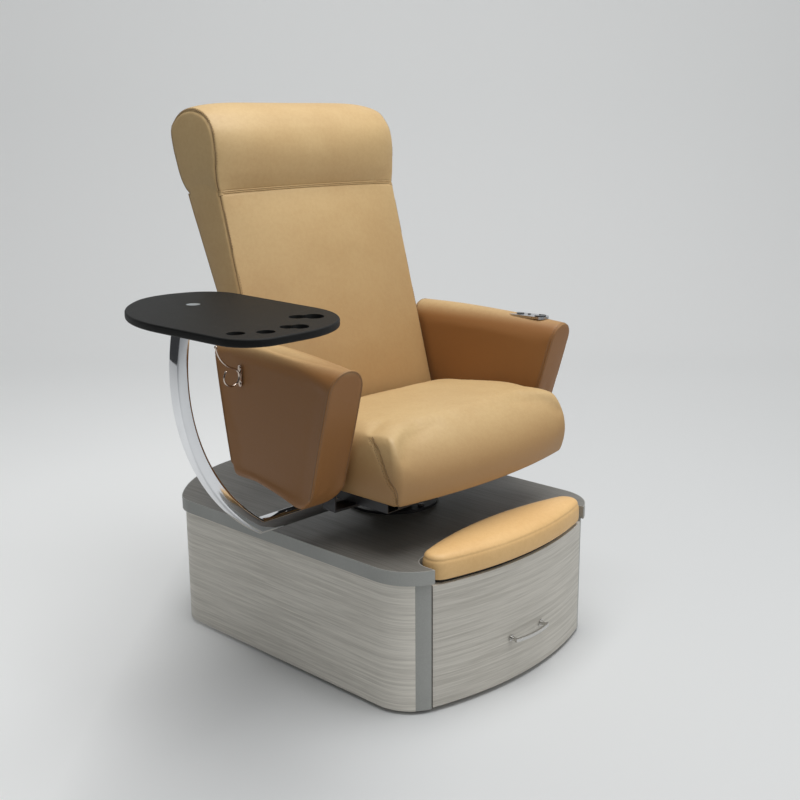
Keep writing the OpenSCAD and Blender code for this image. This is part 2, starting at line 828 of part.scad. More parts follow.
module column_bolts() {
    color([0.7, 0.7, 0.7]) for (p = flange_spots) translate([p[0], p[1], 0]) {
        translate([0, 0, deck_low - 14]) cylinder(d = flange_bolt_d, h = deck_t + flange_t + 14 + seat_in);
        translate([0, 0, deck_z + flange_t + seat_in])
            cylinder(d = 1.9 * flange_bolt_d, h = 0.6 * flange_bolt_d, $fn = 6);
        translate([0, 0, deck_low - 10]) cylinder(d = 1.9 * flange_bolt_d, h = 8, $fn = 6);
        translate([0, 0, deck_low - 2]) cylinder(d = 2.4 * flange_bolt_d, h = 2 - seat_in);
    }
}

module thrust_ring() {
    color([0.85, 0.84, 0.8]) translate([0, 0, thrust_z]) difference() {
        cylinder(d = sleeve_d - 2, h = thrust_t);
        translate([0, 0, -1]) cylinder(d = column_d + 1, h = thrust_t + 2);
    }
}

module swivel_sleeve() {
    color([0.15, 0.15, 0.16]) difference() {
        union() {
            translate([0, 0, sleeve_low]) cylinder(d = sleeve_d, h = plate_z - sleeve_low);
            box([-plate_w / 2, -plate_w / 2, plate_z], [plate_w / 2, plate_w / 2, plate_z + plate_t]);
        }
        translate([0, 0, sleeve_low - 1])
            cylinder(d = column_d + 2 * sleeve_play, h = plate_z - sleeve_low + 1);
    }
}

// Bolt places of the arm brackets under the frame's side tubes, in the arm's own frame
foot_x = arm_t / 2 + 1;
foot_l = 118;
bracket_y = [-150, 0];
bracket_l = 50;

module seat_frame() {
    h = tube_h - 2 * seat_in;
    color([0.13, 0.13, 0.14]) difference() {
        translate([0, 0, frame_z + seat_in]) {
            for (y = [frame_front, frame_mid, 0, frame_rear]) translate([tube_w - frame_x, y, 0])
                tube_x(2 * (frame_x - tube_w), tube_w, h, tube_wall);
            mirror_x() translate([frame_x - tube_w / 2, frame_front - tube_w / 2, 0]) rotate([0, 0, 90])
                tube_x(pivot_y - 8 - frame_front + tube_w / 2, tube_w, h, tube_wall);
        }
        mirror_x() arm_bolt_places() translate([0, 0, frame_z - 1]) cylinder(d = 8.6, h = 8);
    }
}

module seat_board() {
    x = seat_w / 2 - seat_board_in;
    color([0.70, 0.68, 0.64]) box([-x, seat_board_in - seat_front, frame_top + seat_in],
        [x, seat_rear - 6, seat_z - seat_in]);
}

// One level ring of the seat cushion, moved inwards by d: f runs from 0 at the bottom to 1 at
// the top edge, and rise is the share of the crown
function seat_ring(f, d, rise) =
    let (bulge = sin(180 * min(1, f)), back = 14 * f * f, len_y = seat_front + seat_rear)
    [for (p = soft_rect(seat_w / 2 - d, d - seat_front, seat_rear - d, max(8, 44 - d), max(8, 26 - d)))
        let (u = 2 * p[0] / seat_w, v = (p[1] + seat_front) / len_y, fwd = (1 - v) * (1 - v),
             t = seat_front_t + (seat_rear_t - seat_front_t) * v)
        [p[0] * (1 + 0.028 * bulge), p[1] + fwd * (back - bulge * (seat_bow + 6 * (1 - u * u))),
         seat_z + f * t + rise * seat_crown]];

module seat_cushion() {
    rows = [[0, 8, 0], [0.04, 2, 0], [0.2, 0, 0], [0.42, 0, 0], [0.62, 0, 0], [0.82, 1, 0], [0.94, 5, 0],
            [0.985, 13, 0], [1, 28, 0.3], [1, 66, 0.7], [1, 130, 1]];
    color([0.80, 0.64, 0.44]) loft([for (r = rows) seat_ring(r[0], r[1], r[2])]);
}

// ---------------------------------------------------------------- arms

arm_len = arm_front_y + arm_rear_y;

// Height of the arm's top and underside at the share t from the front to the rear
function arm_top(t) = arm_top_front + (arm_top_rear - arm_top_front) * sin(90 * min(1, 1.2 * t));
function arm_low(t) = arm_low_front + (arm_low_rear - arm_low_front) * max(0, min(1, (t - 0.12) * 1.7));

// One upright ring of the arm at the share t of its length, moved inwards by d
function arm_ring(t, d, k = 9) =
    let (top = arm_top(t) - d, low = arm_low(t) + d, w = arm_t / 2 - d, r = min(w, arm_t / 2 - 1),
         q = 12 + (arm_inner_r - 12) * max(0, 1 - t / 0.22),
         side = concat(
            [[w - 12, low], [w, low + 12], [w + 0.5, low + 48], [w + 1.5, low + 0.35 * (top - low)],
             [w + 1, low + 0.65 * (top - low)]],
            [for (i = [0:k]) [r * cos(180 * i / k) , top - r + r * sin(180 * i / k)]],
            [[-w - 1, low + 0.65 * (top - low)], [-w - 1.5, low + 0.35 * (top - low)],
             [-w, low + q], [-w + 0.29 * q, low + 0.29 * q], [-w + q, low]]))
    [for (p = side)
        let (toe = arm_toe * pow(max(0, 1 - (p[1] - low) / 60), 2),
             yf = -arm_front_y + arm_front_lean * (arm_top_front - p[1]) + toe,
             yr = arm_rear_y - arm_rear_lean * (arm_top_rear - p[1]))
        [p[0], yf + t * (yr - yf), p[1]]];

// Places a child in an arm's own frame, on the +X side
module arm_place() {
    translate([arm_front_x, -arm_front_y, 0]) rotate([0, 0, arm_splay])
        translate([0, arm_front_y, 0]) children();
}

module arm_form() {
    rows = [[1, 14], [0.99, 4], [0.97, 0], [0.8, 0], [0.64, 0], [0.5, 0], [0.38, 0], [0.26, 0],
            [0.16, 0], [0.08, 0], [0.02, 0], [0.006, 4], [0, 10]];
    difference() {
        arm_place() loft([for (r = rows) arm_ring(r[0], r[1])]);
        arm_screw_places() cylinder(d = 6.6, h = 34);
    }
}

module arm_left() {
    color([0.80, 0.64, 0.44]) difference() {
        mirror([1, 0, 0]) arm_form();
        hook_place() hook_screw_places() translate([0, 0, -20]) cylinder(d = 4.6, h = 24);
    }
}

module arm_right() {
    color([0.80, 0.64, 0.44]) difference() {
        arm_form();
        control_place() housing_shape(seat_in);
    }
}

// The upright arm screws, along their own +Z, pointing outwards into the arm
module arm_screw_places() {
    arm_place() for (y = bracket_y, k = [0.25, 0.75])
        translate([-foot_x - bracket_t, y + k * bracket_l, seat_z + 34]) rotate([0, 90, 0]) children();
}

// The bolts through the bracket's feet into the frame's side tubes
module arm_bolt_places() {
    arm_place() for (y = bracket_y)
        translate([frame_x - tube_w / 2 - arm_front_x + sin(arm_splay) * (arm_front_y + y + bracket_l / 2),
                   y + bracket_l / 2, 0]) children();
}

module arm_brackets() {
    z0 = frame_z - 6;
    color([0.13, 0.13, 0.14]) mirror_x() difference() {
        arm_place() for (y = bracket_y) {
            box([-foot_x - bracket_t, y, z0], [-foot_x, y + bracket_l, seat_z + 54]);
            box([-foot_x - foot_l, y, z0], [-foot_x, y + bracket_l, frame_z]);
        }
        arm_screw_places() translate([0, 0, -1]) cylinder(d = 6.6, h = 10);
        arm_bolt_places() translate([0, 0, z0 - 1]) cylinder(d = 8.6, h = 8);
    }
}

module arm_bolts() {
    color([0.7, 0.7, 0.7]) mirror_x() {
        arm_screw_places() {
            translate([0, 0, -seat_in - 4]) cylinder(d = 12, h = 4);
            translate([0, 0, -1]) cylinder(d = 6, h = 34);
        }
        arm_bolt_places() {
            translate([0, 0, frame_z - 6 - seat_in - 5]) cylinder(d = 13, h = 5, $fn = 6);
            translate([0, 0, frame_z - 8]) cylinder(d = 8, h = 8 + 8);
        }
    }
}

// ---------------------------------------------------------------- backrest

back_rake = (back_band_y - back_low_y) / back_h;
rear_rake = (back_band_y + back_band_t - back_low_y - back_low_t) / back_h;

// Front and rear face of the backrest at the height h over its lower end
function back_face(h) = back_low_y + back_rake * h;
function back_rear(h) = back_low_y + back_low_t + rear_rake * h;

// One level ring of the backrest
function back_ring(z, y0, y1, hx, crown, r0 = 12, r1 = 18) =
    [for (p = soft_rect(hx, y0, y1, r0, r1, 8, 2))
        let (u = p[0] / hx, v = (p[1] - y0) / (y1 - y0))
        [p[0] * (1 + 0.008 * 4 * v * (1 - v)), p[1] - (1 - v) * crown * (1 - u * u), z]];

// The head pillow: share of its height, how far its face and rear lie behind the seam's, side
// inset and share of the crown
pillow_rows = [[0.01, 3, 0, 0, 0.6], [0.08, 8, 8, -3, 0.9], [0.25, 10, 24, -6, 1], [0.45, 11, 41, -7, 1],
    [0.58, 16, 49, -6, 1], [0.69, 27, 53, -3, 0.95], [0.8, 45, 42, 3, 0.85], [0.88, 66, 25, 10, 0.7],
    [0.94, 88, 0, 20, 0.5], [0.985, 104, -22, 34, 0.3]];

module back_cushion() {
    low = [[0, 10, 0.3], [0.012, 2, 0.45], [0.2, 0, 0.8], [0.5, 0, 1], [0.8, 0, 1], [0.96, 0, 0.9],
           [0.992, 1, 0.6], [1, 4, 0.5]];
    color([0.80, 0.64, 0.44]) loft([for (r = low) let (h = min(r[0] * back_h, back_h - seat_in))
        back_ring(back_low_z + h, back_face(h), back_rear(h) - rear_panel_t - seat_in,
                  back_half_w - r[1], r[2] * back_crown)]);
}

module head_pillow() {
    rear_y1 = back_band_y + back_band_t;
    color([0.80, 0.64, 0.44]) loft([for (r = concat([[0, 6, -6, 4, 0.5]], pillow_rows))
        back_ring(band_z + r[0] * pillow_h, back_band_y + r[1], rear_y1 + r[2],
                  back_half_w - r[3], r[4] * pillow_crown)]);
}

module back_rear_panel() {
    h1 = 0.99 * back_h;
    x = back_half_w - 6;
    color([0.72, 0.57, 0.38]) translate([-x, 0, back_low_z]) rotate([90, 0, 90]) linear_extrude(2 * x)
        polygon([[back_rear(6) - rear_panel_t, 6], [back_rear(6), 6],
                 [back_rear(h1), h1], [back_rear(h1) - rear_panel_t, h1]]);
}

ear_t = 6;
ear_d = 36;
ear_x = pivot_x - ear_t - 1;
lever_w = 24;
back_bar_h = 24;
lever_y = pivot_y + lever_l * sin(lever_angle);
lever_z = pivot_z - lever_l * cos(lever_angle);

// A flat plate of thickness t along X, round at the point [y, z] a and straight up to the point b
module link(x, t, a, b, d) {
    l = norm(b - a);
    translate([x, a[0], a[1]]) rotate([atan2(b[1] - a[1], b[0] - a[0]), 0, 0]) {
        rotate([0, 90, 0]) cylinder(d = d, h = t);
        translate([0, 0, -d / 2]) cube([t, l, d]);
    }
}

module pivot_bore(d) {
    translate([-pivot_x - 60, pivot_y, pivot_z]) rotate([0, 90, 0]) cylinder(d = d, h = 2 * pivot_x + 120);
}

module back_frame() {
    top = back_low_z - seat_in;
    mid = back_low_y + back_low_t / 2 - 4;
    color([0.13, 0.13, 0.14]) difference() {
        union() {
            box([-pivot_x, back_low_y + 4, top - back_bar_h], [pivot_x, back_low_y + back_low_t - 14, top]);
            mirror_x() link(ear_x, ear_t, [pivot_y, pivot_z], [mid, top - back_bar_h / 2], ear_d);
            link(actuator_x - 4, 8, [lever_y, lever_z], [mid, top - back_bar_h / 2], lever_w);
        }
        pivot_bore(pivot_d + 0.1);
        translate([actuator_x - 10, lever_y, lever_z]) rotate([0, 90, 0]) cylinder(d = 10.1, h = 20);
    }
}

module lever_pin() {
    color([0.7, 0.7, 0.7]) translate([actuator_x, lever_y, lever_z]) rotate([0, 90, 0]) {
        translate([0, 0, -14]) cylinder(d = 10, h = 28);
        for (z = [-17, 14]) translate([0, 0, z]) cylinder(d = 14, h = 3);
    }
}

module hinge_brackets() {
    x = ear_x - seat_in - ear_t;
    color([0.13, 0.13, 0.14]) mirror_x() difference() {
        translate([x, 0, 0]) rotate([90, 0, 90]) linear_extrude(ear_t) union() {
            translate([pivot_y, pivot_z]) circle(d = ear_d);
            polygon([[seat_rear + 4, frame_top], [pivot_y - 8, frame_top],
                     [pivot_y + ear_d / 2, pivot_z], [pivot_y - ear_d / 2, pivot_z]]);
        }
        pivot_bore(pivot_d + 0.1);
    }
}

module hinge_pins() {
    head_t = 3;
    l = 2 * ear_t + 3 * seat_in;
    color([0.7, 0.7, 0.7]) mirror_x()
        translate([ear_x - ear_t - 2 * seat_in, pivot_y, pivot_z]) rotate([0, 90, 0]) {
            translate([0, 0, -eps]) cylinder(d = pivot_d, h = l + 2 * eps);
            for (z = [-head_t, l]) translate([0, 0, z]) cylinder(d = pivot_d + 6, h = head_t);
        }
}

// ---------------------------------------------------------------- recline actuator

act_front = -frame_mid + 12;
act_z = lever_z + lever_l * (cos(lever_angle) - 1) / 2 + 0.5;
eye_gap = 0.4;

module actuator_body() {
    y1 = lever_y - actuator_stroke - rod_out;
    color([0.16, 0.16, 0.17]) difference() {
        union() {
            translate([actuator_x, -act_front, act_z]) rotate([-90, 0, 0])
                cylinder(d = actuator_d, h = y1 + act_front);
            box([actuator_x - 22, -act_front - 4, act_z - 22],
                [actuator_x + 22, -act_front + 66, act_z + 22]);
            box([actuator_x - 20, -act_front, act_z], [actuator_x + 20, -act_front + 24, frame_z]);
        }
        translate([actuator_x, -act_front + 66, act_z]) rotate([-90, 0, 0])
            cylinder(d = rod_d + 0.1, h = 600);
    }
}

module actuator_rod() {
    color([0.75, 0.76, 0.78]) difference() {
        union() {
            translate([actuator_x, lever_y - rod_out - rod_hold - actuator_stroke, act_z])
                rotate([-90, 0, 0]) cylinder(d = rod_d, h = rod_out + rod_hold + actuator_stroke - 26);
            box([actuator_x - 13, lever_y - 34, act_z - 13], [actuator_x + 13, lever_y + 11, act_z + 13]);
        }
        box([actuator_x - 4 - eye_gap, lever_y - 22, act_z - 20],
            [actuator_x + 4 + eye_gap, lever_y + 20, act_z + 20]);
        box([actuator_x - 20, lever_y - 5 - eye_gap, act_z - 9],
            [actuator_x + 20, lever_y + 5 + eye_gap, act_z + 9]);
    }
}

// ---------------------------------------------------------------- tray arm

corner_z = bar_top - arm_tube_h / 2;
corner_a = asin((bend_z - corner_z) / bend_r);
corner_x = bend_x + bend_r * cos(corner_a);
end_a = asin(arm_end_h / bend_r);
mitre_a = (90 - corner_a) / 2;

// Rounded rectangle of the tube's section, shrunk by d on each side
module tube_outline(d) {
    w = arm_tube_h / 2 - d;
    h = arm_tube_w / 2 - d;
    r = max(1, arm_tube_r - d);
    polygon(rounded([[w, -h, r], [w, h, r], [-w, h, r], [-w, -h, r]], 18));
}

module tube_section() {
    difference() {
        tube_outline(0);
        tube_outline(arm_tube_wall);
    }
}

// Half-space on one side of the mitre between the straight stretch and the long bend
module mitre_side(s) {
    far = 200;
    translate([-corner_x, -far / 2, corner_z]) rotate([0, mitre_a, 0])
        translate([s > 0 ? 0 : -far, 0, -far / 2]) cube([far, far, far]);
}

// The level tube from the column's sleeve to the mitre
module tray_bar() {
    color([0.80, 0.81, 0.83]) difference() {
        translate([-corner_x - 60, 0, corner_z]) rotate([90, 0, 90])
            linear_extrude(corner_x + 60) rotate([0, 0, 90]) tube_section();
        translate([glue, 0, 0]) mitre_side(-1);
        cylinder(d = sleeve_d + 2 * seat_in, h = 2 * bar_top);
    }
}

// The long bend that is welded on at the mitre, with the tray's pivot plate on its upper end
module tray_arm() {
    color([0.80, 0.81, 0.83]) difference() {
        union() {
            difference() {
                translate([-bend_x, 0, bend_z]) rotate([90, 0, 0]) rotate([0, 0, 180 - end_a - 4])
                    rotate_extrude(angle = corner_a + end_a + 10, $fn = 180)
                        translate([bend_r, 0]) tube_section();
                mitre_side(1);
                box([-2 * bend_r, -bend_r, arm_end_z + 1], [0, bend_r, 2 * bend_z]);
            }
            translate([0, 0, arm_end_z]) linear_extrude(pivot_plate_t) pivot_plate();
        }
        tray_pivot_place() translate([0, 0, arm_end_z - 1]) cylinder(d = tray_pin_d + 2 * glue, h = 80);
    }
}

module tray_pivot_place() {
    translate([-tray_pivot_x, -tray_pivot_off, 0]) children();
}

module pivot_plate() {
    x1 = bend_x + bend_r * cos(end_a) + arm_tube_h / 2;
    w = arm_tube_w + 4;
    outer = max(x1, tray_pivot_x);
    translate([-outer, -w / 2]) square([outer - min(x1 - arm_tube_h, tray_pivot_x - w / 2), w]);
    translate([-tray_pivot_x - w / 2, -tray_pivot_off]) square([w, tray_pivot_off + w / 2]);
    tray_pivot_place() circle(d = w);
}

module tray_pivot_pin() {
    color([0.75, 0.76, 0.78]) tray_pivot_place() {
        translate([0, 0, arm_end_z + seat_in])
            cylinder(d = tray_pin_d, h = pivot_plate_t + shoulder_t + tray_t - disc_t - 2 * seat_in);
        translate([0, 0, arm_end_z + pivot_plate_t + seat_in])
            cylinder(d = arm_tube_w, h = shoulder_t - 2 * seat_in);
    }
}

// ---------------------------------------------------------------- tray

disc_t = 2.5;

// The tray's outline from its pivot, moved inwards by d: five corners of different radii
tray_corners = [[145, -452, 222], [180, 182, 96], [-6, 181, 220], [-205, 8, 395], [-206, -452, 82]];
function tray_outline(d) = rounded(tray_corners, 7.5, d);

round_pockets = [[-167, -360], [-116, -392]];

// The two lobed pockets: the middles of their lobes, and a lobe's length and width
lobed_pockets = [[[-63, -388], [-25, -406], 46, 25], [[36, -307], [82, -334], 48, 26]];
lobe_turn = -47;
lobe_waist = 20;

module lobed_pocket(a, b, l, w) {
    for (p = [a, b]) translate(p) rotate(lobe_turn) stadium(l, w);
    translate(a) rotate(atan2(b[1] - a[1], b[0] - a[0]))
        translate([0, -lobe_waist / 2]) square([norm(b - a), lobe_waist]);
}

module tray() {
    rows = [[tray_edge, 0], [tray_edge * 0.3, tray_edge * 0.3], [0, tray_edge],
            [0, tray_t - tray_edge], [tray_edge * 0.3, tray_t - tray_edge * 0.3], [tray_edge, tray_t]];
    color([0.07, 0.07, 0.07]) tray_pivot_place() translate([0, 0, tray_low]) difference() {
        loft([for (r = rows) lift(tray_outline(r[0]), r[1])]);
        translate([0, 0, tray_t - pocket_h]) linear_extrude(pocket_h + 1) {
            for (p = round_pockets) translate(p) circle(d = pocket_d);
            for (p = lobed_pockets) lobed_pocket(p[0], p[1], p[2], p[3]);
        }
        translate([0, 0, -1]) cylinder(d = tray_pin_d + 0.12, h = tray_t + 2);
        translate([0, 0, tray_t - disc_t]) cylinder(d = disc_d + 2 * seat_in, h = disc_t + 1);
    }
}

module tray_disc() {
    color([0.78, 0.79, 0.80]) tray_pivot_place() translate([0, 0, tray_low + tray_t - disc_t + seat_in])
        cylinder(d = disc_d, h = disc_t);
}

// ---------------------------------------------------------------- purse hook

wall_x = arm_t / 2 + 1.8;
plate_half = 21;
loop_x = loop_r + wire_d / 2 + 1;
join_a = 108;
hook_join = [loop_x + loop_r * cos(join_a), loop_r * sin(join_a)];
prong_c = hook_join + prong_r * [cos(join_a), sin(join_a)];

// A bent stretch of wire round the point c, from angle a over the sweep w
module wire_arc(c, r, a, w) {
    translate([c[0], 0, c[1]]) rotate([90, 0, 0]) rotate([0, 0, a])
        rotate_extrude(angle = w, $fn = 72) translate([r, 0]) circle(d = wire_d, $fn = 14);
}

module hook_place() {
    mirror([1, 0, 0]) arm_place() translate([wall_x, hook_y, hook_z]) children();
}

// Places a child at each of the hook's screws, with its +Z pointing out of the arm
module hook_screw_places() {
    for (s = [-1, 1]) translate([0, 0, s * plate_half]) rotate([0, 90, 0]) children();
}

module purse_hook() {
    tip_a = -7;
    color([0.72, 0.68, 0.64]) hook_place() difference() {
        union() {
            wire_arc([loop_x, 0], loop_r, join_a, 295);
            wire_arc(prong_c, prong_r, join_a - 180, tip_a - join_a + 180);
            translate([loop_x + loop_r * cos(43), 0, loop_r * sin(43)]) sphere(d = 1.5 * wire_d, $fn = 16);
            translate([prong_c[0] + prong_r * cos(tip_a), 0, prong_c[1] + prong_r * sin(tip_a)])
                sphere(d = 1.9 * wire_d, $fn = 16);
            rotate([0, 90, 0]) linear_extrude(2.5) {
                square([2 * plate_half, 14], center = true);
                for (s = [-1, 1]) translate([s * plate_half, 0]) circle(d = 14);
            }
        }
        hook_screw_places() translate([0, 0, -1]) cylinder(d = 4.4, h = 6);
    }
}

module hook_screws() {
    color([0.72, 0.68, 0.64]) hook_place() hook_screw_places() {
        translate([0, 0, 2.5 + seat_in]) cylinder(d = 8, h = 1.6);
        translate([0, 0, -16]) cylinder(d = 4, h = 20);
    }
}

// ---------------------------------------------------------------- armrest control

control_share = (arm_front_y - control_y) / arm_len;
bezel_z = arm_top(control_share) + 2;
round_y = 30;
small_y = 3;
crescent_y = -38;
round_d = 22;
small_d = 9;
button_in = 12;     // how far a button reaches down into the housing
button_out = 2.5;   // how far a button stands up over the bezel
well = button_in + button_travel + 0.5;

module control_place() {
    arm_place() translate([0, -control_y, bezel_z]) children();
}

module stadium(l, w) {
    square([w, l - w], center = true);
    for (s = [-1, 1]) translate([0, s * (l - w) / 2]) circle(d = w);
}

module housing_shape(grow) {
    translate([0, 0, -bezel_t - grow]) linear_extrude(bezel_t + grow + 20 * sign(grow))
        stadium(bezel_l + 2 * grow, bezel_w + 2 * grow);
    translate([0, 0, -housing_h - grow]) linear_extrude(housing_h)
        stadium(bezel_l - 12 + 2 * grow, bezel_w - 12 + 2 * grow);
}

// The crescent's outline, grown by g
module crescent(g) {
    difference() {
        circle(d = 34 + 2 * g);
        translate([0, 12]) circle(d = 25 - 2 * g);
    }
}

module control_housing() {
    play = 0.3;
    color([0.76, 0.77, 0.78]) control_place() difference() {
        housing_shape(0);
        translate([0, round_y, -well]) cylinder(d = round_d + 2 * play, h = 2 * well);
        translate([6, small_y, -well]) cylinder(d = small_d + 2 * play, h = 2 * well);
        translate([0, crescent_y, -well]) linear_extrude(2 * well) crescent(play);
    }
}

module round_button() {
    color([0.05, 0.05, 0.06]) control_place() translate([0, round_y, -button_in])
        cylinder(d = round_d, h = button_in + button_out);
}

module small_button() {
    color([0.05, 0.05, 0.06]) control_place() translate([6, small_y, -button_in])
        cylinder(d = small_d, h = button_in + button_out - 0.5);
}

module crescent_button() {
    color([0.05, 0.05, 0.06]) control_place() translate([0, crescent_y, -button_in])
        linear_extrude(button_in + button_out) crescent(0);
}

// ---------------------------------------------------------------- power

module power_supply() {
    x = supply_w / 2;
    y = 300;
    color([0.10, 0.10, 0.11]) {
        box([-x, y, board_top + seat_in], [x, y + supply_l, board_top + supply_h]);
        mirror_x() box([x - 1, y + 35, board_top + seat_in], [x + 18, y + supply_l - 35, board_top + 4]);
    }
}

module power_inlet() {
    y = rear_y - 26;
    color([0.06, 0.06, 0.06]) {
        difference() {
            box([-inlet_w / 2, y - 14, inlet_z - inlet_h / 2], [inlet_w / 2, rear_y, inlet_z + inlet_h / 2]);
            box([-12, rear_y - 16, inlet_z - 8], [12, rear_y + 1, inlet_z + 8]);
        }
        for (x = [-7, 0, 7]) box([x - 1, rear_y - 17, inlet_z - 2], [x + 1, rear_y - 3, inlet_z + 2]);
    }
}

levelling_feet();
base_board();
shell_left();
shell_right();
rear_access_panel();
access_panel_screws();
panel_battens();
corner_post_left();
corner_post_right();
deck_board();
deck_edge_band();
runner_rib_left();
runner_rib_right();
cross_panel();
rear_braces();
outer_runners();
column_flange();
column_bolts();
power_supply();
power_inlet();
middle_runners();
drawer_front();
drawer_box();
inner_runners();
foot_basin();
drawer_pull();
pull_screws();
footrest_brackets();
footrest_board();
footrest_pad();
swivel_sleeve();
thrust_ring();
seat_frame();
seat_board();
seat_cushion();
arm_left();
arm_right();
arm_brackets();
arm_bolts();
hinge_brackets();
hinge_pins();
actuator_body();
tray_bar();
tray_arm();
tray_pivot_pin();
purse_hook();
hook_screws();
control_housing();
back_cushion();
head_pillow();
back_rear_panel();
back_frame();
lever_pin();
actuator_rod();
tray();
tray_disc();
round_button();
small_button();
crescent_button();
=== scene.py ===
"""Covers, seams, finishes, light and camera of the pedicure spa chair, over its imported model."""

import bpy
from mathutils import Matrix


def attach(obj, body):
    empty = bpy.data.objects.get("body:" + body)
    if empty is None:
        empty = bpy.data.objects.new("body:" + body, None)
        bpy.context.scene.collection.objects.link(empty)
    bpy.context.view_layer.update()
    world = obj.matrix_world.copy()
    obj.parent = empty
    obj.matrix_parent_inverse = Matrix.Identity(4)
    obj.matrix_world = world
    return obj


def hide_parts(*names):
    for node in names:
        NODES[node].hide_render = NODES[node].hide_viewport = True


bl_info = {
    "name": "Pedicure spa chair",
    "version": (1, 0, 0),
    "blender": (4, 5, 0),
    "location": "View3D > Sidebar > Spa chair",
    "description": "Makes the covers, seams, finishes and stage of a pedicure spa chair",
    "category": "Object",
}

from math import asin, atan2, cos, degrees, exp, hypot, pi, radians, sin, sqrt, tan

import bmesh
import bpy
from bpy.props import FloatProperty, FloatVectorProperty, IntProperty, PointerProperty
from mathutils import Matrix, Vector
from mathutils.bvhtree import BVHTree
from mathutils.kdtree import KDTree

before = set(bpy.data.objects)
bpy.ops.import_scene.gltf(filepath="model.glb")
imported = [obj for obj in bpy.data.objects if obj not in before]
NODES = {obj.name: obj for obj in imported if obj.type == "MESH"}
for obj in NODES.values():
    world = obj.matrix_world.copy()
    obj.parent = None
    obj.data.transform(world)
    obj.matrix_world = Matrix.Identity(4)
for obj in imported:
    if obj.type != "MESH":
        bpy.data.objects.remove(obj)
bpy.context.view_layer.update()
MM = 0.001

# Sewing, in metres: radii of thread, of the dark line of painted shade in a seam's crease and of the arms'
# piping, distances from a seam
THREAD_R, SEAM_SHADE_R, PIPING = 0.0007, 0.0010, 0.0019
STITCH_GAP, BACK_STITCH_GAP, FOLD_GAP, PIPING_GAP = 0.0065, 0.007, 0.0085, 0.0024
# Offsets across the back's band: of its raised strands, and of the dark lines of painted shade between and
# beside them
BAND_STRANDS, BAND_SHADE_LINES = (-0.0044, 0.0, 0.0044), (-0.0068, -0.0022, 0.0022, 0.0068)


# ---------------------------------------------------------------- settings


def paint(name, about, default):
    kind = {"subtype": "COLOR", "size": 3, "min": 0, "max": 1}
    return FloatVectorProperty(name=name, description=about, default=default, **kind)


def measure(name, about, default, low, high):
    return FloatProperty(name=name, description=about, unit="LENGTH", default=default, min=low, max=high)


def amount(name, about, default, high=2.0, **kind):
    return FloatProperty(name=name, description=about, default=default, min=0, max=high, **kind)


class UpholsterySettings(bpy.types.PropertyGroup):
    colour: paint("Leather", "Colour of the soft vinyl leather", (0.59, 0.42, 0.205))
    # The dark leather colour is painted shade: it colours the lower sides of the covers, and it is also the
    # darker tone of the leather's random mottling.
    dark: paint("Leather in painted shade", "Colour painted low on the covers as shade, also the darker tone of the mottling", (0.37, 0.19, 0.066))
    thread: paint("Thread", "Colour of the top-stitching", (0.26, 0.155, 0.075))
    grain: measure("Grain", "Size of the leather's pebbles", 0.0017, 0.0005, 0.006)
    roughness: amount("Roughness", "Roughness of the leather", 0.5, 1.0, subtype="FACTOR")
    stitch: measure("Stitch length", "Length of one stitch", 0.0052, 0.002, 0.01)
    pitch: measure("Stitch pitch", "Distance from one stitch to the next", 0.0072, 0.003, 0.015)
    puff: amount("Filling pressure", "Pressure with which the filling swells a cover", 4.0, 20.0)
    swell: measure("Most swelling", "How far the filling may move a point of a cover", 0.006, 0, 0.03)
    frames: IntProperty(
        name="Swelling frames", description="Frames of simulation for each cover", default=16, min=1, max=60
    )


class BaseSettings(bpy.types.PropertyGroup):
    light: paint("Laminate, light", "Light streaks of the laminate", (0.66, 0.63, 0.565))
    dark: paint("Laminate, dark", "Dark streaks of the laminate", (0.42, 0.395, 0.345))
    deck: paint("Deck", "Colour of the laminate on the deck", (0.185, 0.178, 0.16))
    grey: paint("Plain grey", "Colour of the deck's edge and of the corner posts", (0.36, 0.365, 0.345))
    streak: measure("Streak spacing", "Height from one streak of the laminate to the next", 0.006, 0.001, 0.03)


class FittingsSettings(bpy.types.PropertyGroup):
    chrome: paint("Chrome", "Colour of the chromed tube", (0.80, 0.81, 0.83))
    tray: paint("Tray", "Colour of the tray", (0.0072, 0.0075, 0.0072))
    tube_height: measure("Tube height", "Height of the tray arm's tube", 0.036, 0.02, 0.06)
    tube_width: measure("Tube width", "Width of the tray arm's tube", 0.034, 0.02, 0.06)
    tube_corner: measure("Tube corner", "Corner radius of the tray arm's tube", 0.007, 0.001, 0.015)


class StageSettings(bpy.types.PropertyGroup):
    floor: paint("Floor", "Colour of the floor and backdrop", (0.66, 0.67, 0.67))
    glow: amount("Backdrop glow", "Brightness that the camera sees in the far backdrop by itself", 0.22, 1.0)
    key: amount("Front light", "Power of the soft light in front", 17.0, 1000.0, unit="POWER")
    top: amount("Top light", "Power of the soft light overhead", 165.0, 1000.0, unit="POWER")
    sky: amount("Surroundings", "Strength of the light from all around", 0.33)
    room: amount("Dark room", "Brightness of the room in front of the chair, as its metal shows it", 0.05)
    lens: amount("Lens", "Focal length on a 36 mm sensor, in millimetres", 51.63, 200.0)


def settings():
    return bpy.context.scene.spa_chair


class ChairSettings(bpy.types.PropertyGroup):
    upholstery: PointerProperty(type=UpholsterySettings)
    base: PointerProperty(type=BaseSettings)
    fittings: PointerProperty(type=FittingsSettings)
    stage: PointerProperty(type=StageSettings)


# ---------------------------------------------------------------- material recipes


